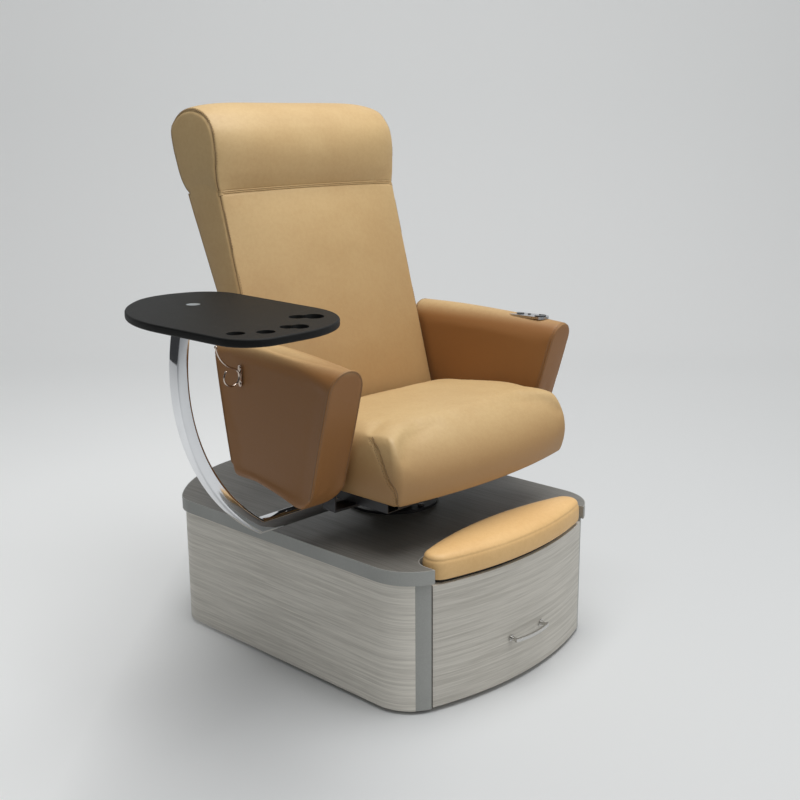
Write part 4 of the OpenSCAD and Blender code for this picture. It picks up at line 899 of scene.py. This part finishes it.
ARM_X, ARM_YF, ARM_YR, ARM_W = 431.0, 278.0, 225.0, 49.0
ARM_TOP, ARM_RISE, ARM_LOW, ARM_LOW_RISE = 868, 25, 496, 30
ARM_LEAN, ARM_REAR_LEAN, ARM_SPLAY = 0.29, 0.20, radians(4.5)
ARM_TOE, ARM_TOE_Z, ARM_REAR_MORE = 44, 556, 22
ARM_SHARES = [0, 0.003, 0.009, 0.02] + [0.038 + 0.0235 * m for m in range(40)]
ARM_SHARES += [0.966, 0.98, 0.991, 0.997, 1.0]


def arm_top(t):
    return ARM_TOP + ARM_RISE * sin(radians(90 * min(1, 1.2 * t)))


def arm_low(t):
    return ARM_LOW + ARM_LOW_RISE * clamp((t - 0.12) * 1.7)


def arm_world(x, y, z, s):
    """From an arm's own frame to the chair's, on the side s."""
    c, n = cos(ARM_SPLAY), sin(ARM_SPLAY)
    dx, dy = x * c - (y + ARM_YF) * n, x * n + (y + ARM_YF) * c
    return Vector((s * (ARM_X + dx), dy - ARM_YF, z))


def arm_skin(u, v, t, s):
    """A point of the arm's sleeve: u across from the seat's side outwards, v up, t from front to rear."""
    d = track(t, (0, 7.0), (0.003, 3.6), (0.009, 1.0), (0.02, 0.0), (0.97, 0.0), (0.985, 2.0), (1, 9.0))
    top, low = arm_top(t) - d, arm_low(t) + d
    w = ARM_W - d
    fore = 1 - clamp(t / 0.5)
    arch = w - 0.5
    shares = ((0.34, 0.05), (0.16, 0.03), (0.5, 0.09), (0.5, 0.09))
    x, z = walk(u, v, -w, w, low, top, (lerp(16, 46, fore), lerp(16, 20, fore), arch, arch), shares)
    h = clamp((z - low) / (top - low))
    x += (2.5 if x > 0 else -1.5) * sin(pi * h) * clamp(abs(x) / w)
    yf = -ARM_YF + ARM_LEAN * (ARM_TOP - z)
    yr = ARM_YR + (ARM_REAR_MORE if s > 0 else 0) - ARM_REAR_LEAN * (ARM_TOP + ARM_RISE - z)
    toe = ARM_TOE * clamp((ARM_TOE_Z - z) / 60) ** 2 * fore
    return arm_world(x, lerp(yf, yr, t) + toe, z, s)


def arm_cover(name, s):
    size = (16, len(ARM_SHARES) - 1, 36)

    def side(i, j, k):
        return arm_skin(i / size[0], k / size[2], ARM_SHARES[j], s)

    def face(u, v, high):
        dome = (1 - abs(2 * u - 1) ** 2.5) * (1 - abs(2 * v - 1) ** 4)
        return Vector((0, (6.0 if high else -4.5) * dome, 0))

    cover = block(name, size, with_ends(side, size, 1, face))
    rise = [v / 72 for v in range(6, 73)]
    over = [(0.0, v) for v in rise] + [(u / 32, 1.0) for u in range(1, 32)] + [(1.0, v) for v in reversed(rise)]
    rings = [mm([arm_skin(u, v, t, s) for u, v in over]) for t in (0.008, 0.985)]
    sew(cover, [(r, 0.0036, 0.007) for r in rings], 0.0, 0.008, 0.004)
    return cover, rings


# ---------------------------------------------------------------- footrest cover

REST_Z, REST_T, REST_REAR_R, REST_END_R = 347.3, 67.0, 960.0, 40
FRONT_R, FRONT_CY = 958.0, 475.0
REST_R1 = FRONT_R + 5
REST_CY2 = -330.0 - REST_REAR_R
REST_SPAN = FRONT_CY - REST_CY2
REST_A = ((REST_R1 - REST_END_R) ** 2 - (REST_REAR_R - REST_END_R) ** 2 + REST_SPAN ** 2) / (2 * REST_SPAN)
REST_EY = FRONT_CY - REST_A
REST_EX = sqrt((REST_R1 - REST_END_R) ** 2 - REST_A ** 2)
REST_T1 = degrees(atan2(REST_EX, REST_A))
REST_T2 = degrees(atan2(REST_EX, REST_EY - REST_CY2))


def rest_skin(u, v, h):
    """A point of the footrest's side: two large arcs, front and rear, joined by two round ends."""
    d = track(
        h, (0, 8), (0.07, 2.5), (0.16, 0.3), (0.3, -0.5), (0.5, 0), (0.62, 1.4), (0.68, 3.4), (0.74, 3.2),
        (0.82, 6), (0.9, 12), (1, 25),
    )
    z = REST_T / 56 * track(
        h, (0, 0), (0.07, 2), (0.16, 7), (0.3, 17), (0.5, 31), (0.62, 38.5), (0.68, 41.3), (0.74, 44),
        (0.82, 48.5), (0.9, 52.4), (1, 54),
    )
    side = 1
    if v == 0.0:
        a, r, cx, cy = (2 * u - 1) * REST_T1 - 90, REST_R1 - d, 0, FRONT_CY
    elif v == 1.0:
        a, r, cx, cy = 90 - (2 * u - 1) * REST_T2, REST_REAR_R - d, 0, REST_CY2
    else:
        a, r, cx, cy = lerp(-90 + REST_T1, 90 - REST_T2, v), REST_END_R - d, REST_EX, REST_EY
        side = -1 if u == 0.0 else 1
    return Vector((side * (cx + r * cos(radians(a))), cy + r * sin(radians(a)), REST_Z + z))


def footrest_cover():
    size = (64, 12, 18)

    def side(i, j, k):
        return rest_skin(i / size[0], j / size[1], k / size[2])

    def crown(u, v, high):
        dome = (1 - abs(2 * u - 1) ** 4) * (1 - abs(2 * v - 1) ** 2.2)
        return Vector((0, 0, 3.0 * dome if high else 0))

    cover = block("footrest_cover", size, with_ends(side, size, 2, crown))
    long, short = [m / 96 for m in range(96)], [m / 24 for m in range(1, 24)]
    edge = [(u, 0.0) for u in long] + [(1.0, v) for v in short]
    edge += [(1 - u, 1 - v) for u, v in edge]
    seam = mm([rest_skin(u, v, 0.7) for u, v in edge + edge[:1]])
    sew(cover, [(seam, 0.0006, 0.004)], 0.352, 0.004, 0.003)
    return cover


# ---------------------------------------------------------------- operators


class SeatCover(bpy.types.Operator):
    """Makes the seat's crowned cover, with a dart seam at each front corner."""

    bl_idname = "spa_chair.seat_cover"
    bl_label = "Seat cover"

    def execute(self, context):
        # The seat's leather is darker on its sides below 0.56 m, as painted shade, and paler on its top above
        # 0.70 m, as painted light.
        skin, yarn = leather("seat leather", (0.56, 0.70)), thread("seat thread")
        cover, darts = seat_cover()
        ride_on(cover, "seat", skin)
        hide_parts("seat_cushion")
        laid = [lay(cover, d, 0.0001) for d in darts]
        # Thin dark lines of thread colour along each dart and the fold beside it: painted shade in their
        # creases.
        folds = [lay_again(cover, tapered(row, -FOLD_GAP * s), 0.0) for row, s in zip(laid, (1, -1))]
        cords("seat_fold_shade_lines", laid + folds, SEAM_SHADE_R, "seat", yarn)
        rows = [lay_again(cover, shifted(row, STITCH_GAP * s)) for row, s in zip(laid, (1, -1))]
        stitches("seat_stitches", rows, "seat", yarn)
        cords("seat_seam_cords", laid, 0.0011, "seat", skin)
        return {"FINISHED"}


class BackCover(bpy.types.Operator):
    """Makes the boxed cover of the back, with its side seams and the sewn band under the head pillow."""

    bl_idname = "spa_chair.back_cover"
    bl_label = "Back cover"

    def execute(self, context):
        # The back's leather is painted paler from its foot up to 1.40 m, as painted light towards its top, and
        # darker low down, as painted shade.
        skin, yarn = leather("back leather", (0.50, 1.40), 0.95, 0.4), thread("back thread")
        cover, seams, band = back_cover()
        ride_on(cover, "back", skin)
        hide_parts("back_cushion", "head_pillow")
        laid = [lay(cover, s, 0.0002) for s in seams]
        cords("back_seam_cords", laid, 0.0012, "back", skin)
        # Thin dark lines beside each side seam's cord: painted shade in the seam's crease.
        edges = [lay_again(cover, shifted(row, 0.0021 * s), 0.0002) for row, s in zip(laid, (-1, 1))]
        cords("back_seam_lines", edges, SEAM_SHADE_R, "back", yarn)
        rows = [lay_again(cover, shifted(row, BACK_STITCH_GAP * s)) for row, s in zip(laid, (-1, 1))]
        middle = lay(cover, band, 0.0)
        strands = [proud(shifted(middle, shift), 0.0016) for shift in BAND_STRANDS]
        cords("back_band_cords", strands, 0.0021, "back", skin, 8)
        # Thin dark lines between and beside the band's strands: painted shade in their grooves.
        lines = [proud(shifted(middle, shift), 0.0010) for shift in BAND_SHADE_LINES]
        cords("back_band_shade_lines", lines, SEAM_SHADE_R, "back", yarn)
        stitches("back_stitches", rows, "back", yarn)
        return {"FINISHED"}


class ArmCovers(bpy.types.Operator):
    """Makes the two arms' covers, each with a seam round its front and rear panels."""

    bl_idname = "spa_chair.arm_covers"
    bl_label = "Arm covers"

    def execute(self, context):
        # The arms' leather is painted shade: a darker copy of the dark colour on their sides below 0.85 m,
        # turning pale only on their tops as painted light.
        skin = leather("arm leather", (0.85, 0.90), 1.0, 0.0, depth=(0.80, 0.70, 0.62))
        yarn = thread("arm thread")
        for name, s in (("arm_left", -1), ("arm_right", 1)):
            cover, rings = arm_cover(name + "_cover", s)
            ride_on(cover, "seat", skin)
            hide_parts(name)
            laid = [lay(cover, r, 0.0002) for r in rings]
            cords(name + "_seam_cords", laid, PIPING, "seat", skin, 8)
            rows = [lay_again(cover, shifted(row, STITCH_GAP * s * way)) for row, way in zip(laid, (1, -1))]
            stitches(name + "_stitches", rows, "seat", yarn)
            # Thin dark lines on both sides of each piping: painted shade where the piping meets the cover.
            sides = (-PIPING_GAP, PIPING_GAP)
            edges = [lay_again(cover, shifted(row, gap), 0.0) for row in laid for gap in sides]
            cords(name + "_seam_lines", edges, 0.0009, "seat", yarn)
        return {"FINISHED"}


class FootrestCover(bpy.types.Operator):
    """Makes the footrest's lens-shaped cover, with a seam under its top."""

    bl_idname = "spa_chair.footrest_cover"
    bl_label = "Footrest cover"

    def execute(self, context):
        # The footrest's leather is a lighter copy of the leather, as painted light.
        skin = leather("footrest leather", tint=(1.36, 1.24, 1.12), depth=(1.5, 1.5, 1.3))
        cover = footrest_cover()
        ride_on(cover, "drawer", skin)
        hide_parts("footrest_pad")
        return {"FINISHED"}


# ---------------------------------------------------------------- tray and its arm

TUBE_Z, TUBE_BEND, TUBE_END = 0.437, 0.507, 0.144
BEND_CENTRE = Vector((-0.206, 0, 0.856))
TUBE_STEPS = (-0.0573, -0.1573, -0.2573, -0.3573)
PIVOT = Vector((-0.680, -0.024, 1.0))
PLATE_T, PLATE_EDGE = 0.008, 0.0012


class TrayArm(bpy.types.Operator):
    """Makes the chromed tray arm: a level tube, a mitre, a long bend and the pivot plate."""

    bl_idname = "spa_chair.tray_arm"
    bl_label = "Tray arm"

    def execute(self, context):
        fit = settings().fittings
        half_h, half_w, r = fit.tube_height / 2, fit.tube_width / 2, fit.tube_corner
        corner, end = asin((BEND_CENTRE.z - TUBE_Z) / TUBE_BEND), asin(TUBE_END / TUBE_BEND)
        slope = tan((pi / 2 - corner) / 2)
        section = []
        for sx, sz, start in ((1, 1, 0), (-1, 1, 90), (-1, -1, 180), (1, -1, 270)):
            turns = [radians(start + 15 * m) for m in range(7)]
            section += [(sx * (half_w - r) + r * cos(a), sz * (half_h - r) + r * sin(a)) for a in turns]
        rings = [[Vector((x, p, TUBE_Z + q)) for p, q in section] for x in TUBE_STEPS]
        corner_x = BEND_CENTRE.x - TUBE_BEND * cos(corner)
        rings.append([Vector((corner_x + q * slope, p, TUBE_Z + q)) for p, q in section])
        steps = 60
        for m in range(1, steps + 1):
            a = lerp(pi + corner, pi - end, m / steps)
            out = Vector((cos(a), 0, sin(a)))
            rings.append([BEND_CENTRE + out * (TUBE_BEND - q) + Vector((0, p, 0)) for p, q in section])
        bm = bmesh.new()
        push_rings(bm, rings)
        arm = to_object("tray_arm_tube", bm)
        sharp_by_angle(arm, 30)
        plate = self.plate(BEND_CENTRE.x - TUBE_BEND * cos(end) - half_h, half_w + 0.002)
        chrome = bright_metal("chrome", tuple(fit.chrome), 0.05)
        ride_on(arm, "seat", chrome)
        ride_on(plate, "seat", chrome)
        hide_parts("tray_bar", "tray_arm")
        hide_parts("tray_arm")
        return {"FINISHED"}

    def plate(self, outer, half):
        """The flat plate from the tube's end to the pivot, with a round end."""
        spots = [Vector((x, y, PIVOT.z)) for x, y in ((outer, half), (outer, -half), (PIVOT.x - half, -half))]
        turns = [radians(a) for a in range(0, 181, 9)]
        spots += [PIVOT - half * Vector((cos(a), sin(a), 0)) for a in turns]
        spots.append(Vector((PIVOT.x + half, half, PIVOT.z)))
        bm = bmesh.new()
        prism(bm, spots, PLATE_T)
        rim = [e for e in bm.edges if e.calc_face_angle(0) > radians(60)]
        how = {"offset_type": "OFFSET", "affect": "EDGES", "segments": 2, "profile": 0.5, "material": -1}
        bmesh.ops.bevel(bm, geom=rim, offset=PLATE_EDGE, **how)
        in_order(bm)
        plate = to_object("tray_arm_plate", bm)
        sharp_by_angle(plate, 30)
        return plate


TRAY_AXIS, TRAY_LOW, TRAY_T, TRAY_EDGE = (-680.0, -24.0), 1013.0, 17.0, 4.0
TRAY_CORNERS = ((145, -452, 222), (183, 150, 106), (6, 197, 166), (-214, 24, 379), (-220, -452, 82))
POCKET_DEEP, POCKET_R, WAIST = 12, 19.5, 18.5
ROUND_POCKETS = ((-167, -360), (-116, -392))
LOBED_POCKETS = (((-50, -383, 17, 20), (-30, -398, 19, 25), -37), ((45, -306, 19, 23), (73, -328, 22, 30), -38))
DISC_R, DISC_DEEP, PIN_R = 16.3, 2.5, 6.06


def tray_ring(inset, z, step=4.0):
    """The tray's outline, moved inwards: five corners (x, y, radius) from its pivot."""
    out = []
    for n, (x, y, r) in enumerate(TRAY_CORNERS):
        before, after = TRAY_CORNERS[n - 1], TRAY_CORNERS[(n + 1) % len(TRAY_CORNERS)]
        a1, a2 = degrees(atan2(before[1] - y, before[0] - x)), degrees(atan2(after[1] - y, after[0] - x))
        turn = (a1 - a2) % 360
        half = radians(a2 + turn / 2)
        away = r / sin(radians(turn / 2))
        cx, cy, sweep = TRAY_AXIS[0] + x + away * cos(half), TRAY_AXIS[1] + y + away * sin(half), 180 - turn
        count = max(2, round(sweep / step))
        for m in range(count + 1):
            a = radians(a1 + 90 + sweep * m / count)
            out.append((cx + (r - inset) * cos(a), cy + (r - inset) * sin(a), TRAY_LOW + z))
    return mm(out)


def tray_pockets():
    """The ellipses cut into the tray, as (x, y, half axis, other half axis, turn, depth from its top)."""
    out = [(x, y, POCKET_R, POCKET_R, 0, POCKET_DEEP) for x, y in ROUND_POCKETS]
    for (x0, y0, a0, b0), (x1, y1, a1, b1), turn in LOBED_POCKETS:
        out += [(x0, y0, a0, b0, turn, POCKET_DEEP), (x1, y1, a1, b1, turn, POCKET_DEEP)]
        reach = hypot(x1 - x0, y1 - y0) / 2 + 6
        out.append(((x0 + x1) / 2, (y0 + y1) / 2, reach, WAIST, turn, POCKET_DEEP))
    return out + [(0, 0, DISC_R, DISC_R, 0, DISC_DEEP), (0, 0, PIN_R, PIN_R, 0, TRAY_T + 2)]


def cut_oval(piece, x, y, a, b, turn, deep, sides=40):
    """Cuts an ellipse round (x, y) from the tray's pivot, its half axis a turned by turn degrees."""
    place = Matrix.Translation((TRAY_AXIS[0] + x, TRAY_AXIS[1] + y, TRAY_LOW + TRAY_T - deep))
    place = place @ Matrix.Rotation(radians(turn), 4, "Z")
    turns = [2 * pi * m / sides for m in range(sides)]
    bm = bmesh.new()
    prism(bm, mm([place @ Vector((a * cos(w), b * sin(w), 0)) for w in turns]), (deep + 2) * MM)
    tool = to_object("cutter", bm)
    knife = piece.modifiers.new("cut", "BOOLEAN")
    knife.operation, knife.solver, knife.object = "DIFFERENCE", "EXACT", tool
    settle(piece)
    bpy.data.objects.remove(tool)


class Tray(bpy.types.Operator):
    """Makes the black tray with its rounded rim, two round pockets and two lobed ones."""

    bl_idname = "spa_chair.tray"
    bl_label = "Tray"

    def execute(self, context):
        turns = [radians(15 * m) for m in range(7)]
        rows = [(TRAY_EDGE * (1 - sin(a)), TRAY_EDGE * (1 - cos(a))) for a in turns]
        rows += [(inset, TRAY_T - z) for inset, z in reversed(rows)]
        bm = bmesh.new()
        push_rings(bm, [tray_ring(inset, z) for inset, z in rows])
        tray = to_object("tray_body", bm)
        for pocket in tray_pockets():
            cut_oval(tray, *pocket)
        soft = tray.modifiers.new("rims", "BEVEL")
        soft.width, soft.segments, soft.limit_method, soft.angle_limit = 0.0009, 2, "ANGLE", radians(50)
        settle(tray)
        sharp_by_angle(tray, 32)
        for poly in tray.data.polygons:
            poly.use_smooth = abs(poly.normal.z) < 0.9995
        black = moulded("tray black", tuple(settings().fittings.tray), 0.55, 0.0011, 0.00016, shine=0.22)
        ride_on(tray, "tray_body", black)
        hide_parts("tray")
        return {"FINISHED"}


# ---------------------------------------------------------------- finishes


class BaseFinishes(bpy.types.Operator):
    """Gives the base, its drawer and its boards their laminates and woods."""

    bl_idname = "spa_chair.base_finishes"
    bl_label = "Base finishes"

    def execute(self, context):
        b = settings().base
        light, dark, deck, grey = tuple(b.light), tuple(b.dark), tuple(b.deck), tuple(b.grey)
        # The shells' and rear panel's laminate is a lighter copy of the drawer front's, as painted light on the
        # base's sides.
        shells = laminate("laminate shells", dimmed(light, 1.28), dimmed(dark, 1.28))
        finish(["shell_left", "shell_right", "rear_access_panel"], shells)
        finish(["drawer_front"], laminate("laminate drawer front", light, dark, turn=radians(2.2)))
        top = laminate("laminate deck", dimmed(deck, 1.12), dimmed(deck, 0.78), level=False, sheen=0.36)
        finish(["deck_board"], top)
        plain = plain_grey("plain grey laminate", grey)
        finish(["deck_edge_band", "corner_post_left", "corner_post_right"], plain)
        board = wood("birch board", (0.42, 0.31, 0.20), (0.28, 0.19, 0.11))
        finish(["base_board", "runner_rib_left", "runner_rib_right", "cross_panel", "rear_braces"], board)
        finish(["panel_battens", "seat_board"], board)
        finish(["drawer_box"], wood("drawer box birch", (0.60, 0.47, 0.31), (0.44, 0.32, 0.19), 0.03, 0))
        finish(["footrest_board"], painted_metal("black board", (0.018, 0.017, 0.016), 0.6))
        finish(["foot_basin"], glazed("basin white", (0.84, 0.84, 0.82)))
        zinc = bright_metal("zinc", (0.55, 0.56, 0.57), 0.32, smear=0.2)
        finish(["outer_runners", "middle_runners", "inner_runners", "footrest_brackets"], zinc)
        screws = bright_metal("zinc screws", (0.52, 0.52, 0.51), 0.3, smear=0.2)
        finish(["pull_screws", "column_bolts", "arm_bolts", "access_panel_screws"], screws)
        finish(["levelling_feet"], moulded("black rubber", (0.02, 0.02, 0.02), 0.75))
        finish(["power_supply", "power_inlet"], moulded("black plastic", (0.016, 0.016, 0.018), 0.5))
        return {"FINISHED"}


class FrameFinishes(bpy.types.Operator):
    """Gives the column, the seat's frame, the recline and the rear panel their finishes."""

    bl_idname = "spa_chair.frame_finishes"
    bl_label = "Frame finishes"

    def execute(self, context):
        black = painted_metal("black powder coat", (0.016, 0.016, 0.018), 0.42)
        finish(["column_flange", "swivel_sleeve", "seat_frame"], black)
        finish(["arm_brackets", "hinge_brackets", "back_frame"], black)
        finish(["actuator_body"], moulded("actuator black", (0.018, 0.018, 0.02), 0.45))
        steel = bright_metal("ground steel", (0.60, 0.61, 0.63), 0.16)
        finish(["actuator_rod", "tray_pivot_pin", "hinge_pins", "lever_pin"], steel)
        finish(["thrust_ring"], moulded("nylon", (0.72, 0.70, 0.64), 0.45))
        # The rear panel's leather is painted paler towards its top, as painted light, and darker low down, as
        # painted shade.
        finish(["back_rear_panel"], leather("rear panel leather", (0.60, 1.42), 0.6, 0.3))
        return {"FINISHED"}


class FittingsFinishes(bpy.types.Operator):
    """Gives the tray's disc, the control, the hook and the pull their finishes."""

    bl_idname = "spa_chair.fittings_finishes"
    bl_label = "Fittings' finishes"

    def execute(self, context):
        finish(["tray_disc"], bright_metal("disc satin", (0.62, 0.68, 0.72), 0.3, smear=0.1))
        finish(["control_housing"], bright_metal("bezel silver", (0.62, 0.63, 0.65), 0.26, 0.00002, 0.12))
        button = moulded("button black", (0.012, 0.012, 0.014), 0.32, coat=0.3)
        finish(["round_button", "small_button", "crescent_button"], button)
        finish(["purse_hook", "hook_screws"], bright_metal("hook bronze", (0.60, 0.50, 0.43), 0.16))
        finish(["drawer_pull"], bright_metal("pull nickel", (0.58, 0.57, 0.55), 0.2, smear=0.12))
        return {"FINISHED"}


# ---------------------------------------------------------------- stage

YAW, PITCH, ROLL = radians(-46.74), radians(13.83), radians(-0.38)
EYE = (-2.2530, -2.1526, 1.4426)
KEY_PLACE, TOP_PLACE = (0.9, -3.4, 2.2), (0.2, -0.7, 4.5)
FLOOR_HALF, FLOOR_END, CURVE_R, WALL_TOP = 9.0, 3.6, 1.6, 7.0


class Stage(bpy.types.Operator):
    """Sets the camera, the floor that curves up into a backdrop, and the soft light."""

    bl_idname = "spa_chair.stage"
    bl_label = "Stage"

    def execute(self, context):
        st = settings().stage
        scene = context.scene
        lens = bpy.data.cameras.new("camera")
        lens.lens, lens.sensor_width, lens.sensor_fit = st.lens, 36.0, "HORIZONTAL"
        lens.clip_start, lens.clip_end = 0.05, 60
        view = bpy.data.objects.new("camera", lens)
        scene.collection.objects.link(view)
        turn = Matrix.Rotation(YAW, 4, "Z") @ Matrix.Rotation(pi / 2 - PITCH, 4, "X")
        view.matrix_world = Matrix.Translation(EYE) @ turn @ Matrix.Rotation(ROLL, 4, "Z")
        scene.camera = view
        self.sweep()
        self.lamp("key light", KEY_PLACE, (0, 0, 0.4), 2.6, st.key)
        self.lamp("top light", TOP_PLACE, (0, 0.1, 0.4), 3.2, st.top)
        self.surroundings(scene)
        scene.view_settings.view_transform = "Standard"
        return {"FINISHED"}

    def surroundings(self, scene):
        """An even pale sky, with a dark room in its place for what the metal reflects."""
        st = settings().stage
        world = bpy.data.worlds.new("surroundings")
        world.use_nodes = True
        nodes, links = world.node_tree.nodes, world.node_tree.links
        sky, room = nodes["Background"], nodes.new("ShaderNodeBackground")
        mixer = nodes.new("ShaderNodeMixShader")
        links.new(nodes.new("ShaderNodeLightPath").outputs["Is Glossy Ray"], mixer.inputs[0])
        for n, (part, colour, strength) in enumerate(
            ((sky, (0.93, 0.95, 0.97, 1), st.sky), (room, (0.8, 0.82, 0.85, 1), st.room))
        ):
            part.inputs["Color"].default_value = colour
            part.inputs["Strength"].default_value = strength
            links.new(part.outputs[0], mixer.inputs[n + 1])
        links.new(mixer.outputs[0], nodes["World Output"].inputs["Surface"])
        scene.world = world

    def lamp(self, name, place, aim, size, power):
        light = bpy.data.lights.new(name, "AREA")
        light.shape, light.size, light.energy = "SQUARE", size, power
        lamp = bpy.data.objects.new(name, light)
        bpy.context.scene.collection.objects.link(lamp)
        lamp.location = place
        lamp.rotation_euler = (Vector(aim) - Vector(place)).to_track_quat("-Z", "Y").to_euler()

    def sweep(self):
        """A plain sheet that lies on the floor and curves up into a wall behind the chair."""
        away = Vector((sin(-YAW), cos(-YAW), 0))
        across = Vector((away.y, -away.x, 0))
        turns = [radians(a) for a in range(6, 91, 6)]
        path = [(-FLOOR_HALF, 0.0), (FLOOR_END, 0.0)]
        path += [(FLOOR_END + CURVE_R * sin(a), CURVE_R - CURVE_R * cos(a)) for a in turns]
        path.append((FLOOR_END + CURVE_R, WALL_TOP))
        bm = bmesh.new()
        start = [away * path[0][0] + across * side for side in (-FLOOR_HALF, FLOOR_HALF)]
        edge = bm.edges.new([bm.verts.new(p) for p in start])
        for (d0, z0), (d1, z1) in zip(path, path[1:]):
            made = bmesh.ops.extrude_edge_only(bm, edges=[edge])["geom"]
            step = away * (d1 - d0) + Vector((0, 0, z1 - z0))
            bmesh.ops.translate(bm, verts=only(made, bmesh.types.BMVert), vec=step)
            edge = only(made, bmesh.types.BMEdge)[0]
        bmesh.ops.recalc_face_normals(bm, faces=bm.faces)
        sheet = to_object("floor", bm)
        sheet.data.materials.append(self.paper(away, across))

    def paper(self, away, across):
        """Pale paper, which the camera sees glow a little at the far end and on the left."""
        st = settings().stage
        r = Recipe("floor paper", Roughness=0.75)
        cloud = r.noise(1.8, 2.0)
        r.feed("Base Color", r.mix(cloud.ramp(0.3, 0.7) * 0.25, tuple(st.floor), dimmed(st.floor, 0.97)))
        path = r.node("ShaderNodeLightPath").outputs
        seen = (Sum(r, path["Is Camera Ray"]) + path["Is Glossy Ray"] + path["Is Transmission Ray"]).clamped()
        far = (r.along(0) * away.x + r.along(1) * away.y).ramp(-0.4, 4.2)
        left = (r.along(0) * -across.x + r.along(1) * -across.y).ramp(0.2, 1.4)
        glow = far + left * (2.3 - far)
        r.feed("Emission Color", r.mix(seen * glow, (0, 0, 0), (st.glow, st.glow, st.glow * 0.985)))
        r.shader.inputs["Emission Strength"].default_value = 1.0
        return r.material


STEPS = (
    Stage, SeatCover, BackCover, ArmCovers, FootrestCover, TrayArm, Tray, BaseFinishes, FrameFinishes,
    FittingsFinishes,
)


class ChairPanel(bpy.types.Panel):
    """Lists the chair's settings and steps in the 3D view's sidebar."""

    bl_idname = "VIEW3D_PT_spa_chair"
    bl_label = "Spa chair"
    bl_space_type = "VIEW_3D"
    bl_region_type = "UI"
    bl_category = "Spa chair"

    def draw(self, context):
        own = context.scene.spa_chair
        for part in ("upholstery", "base", "fittings", "stage"):
            box = self.layout.box()
            box.label(text=part.capitalize())
            group = getattr(own, part)
            for key in group.__annotations__:
                box.prop(group, key)
        for step in STEPS:
            self.layout.operator(step.bl_idname)


CLASSES = (UpholsterySettings, BaseSettings, FittingsSettings, StageSettings, ChairSettings, *STEPS, ChairPanel)


def register():
    for cls in CLASSES:
        bpy.utils.register_class(cls)
    bpy.types.Scene.spa_chair = PointerProperty(type=ChairSettings)


def unregister():
    del bpy.types.Scene.spa_chair
    for cls in reversed(CLASSES):
        bpy.utils.unregister_class(cls)


def main():
    register()
    for step in STEPS:
        group, name = step.bl_idname.split(".")
        getattr(getattr(bpy.ops, group), name)()


if __name__ == "__main__":
    main()
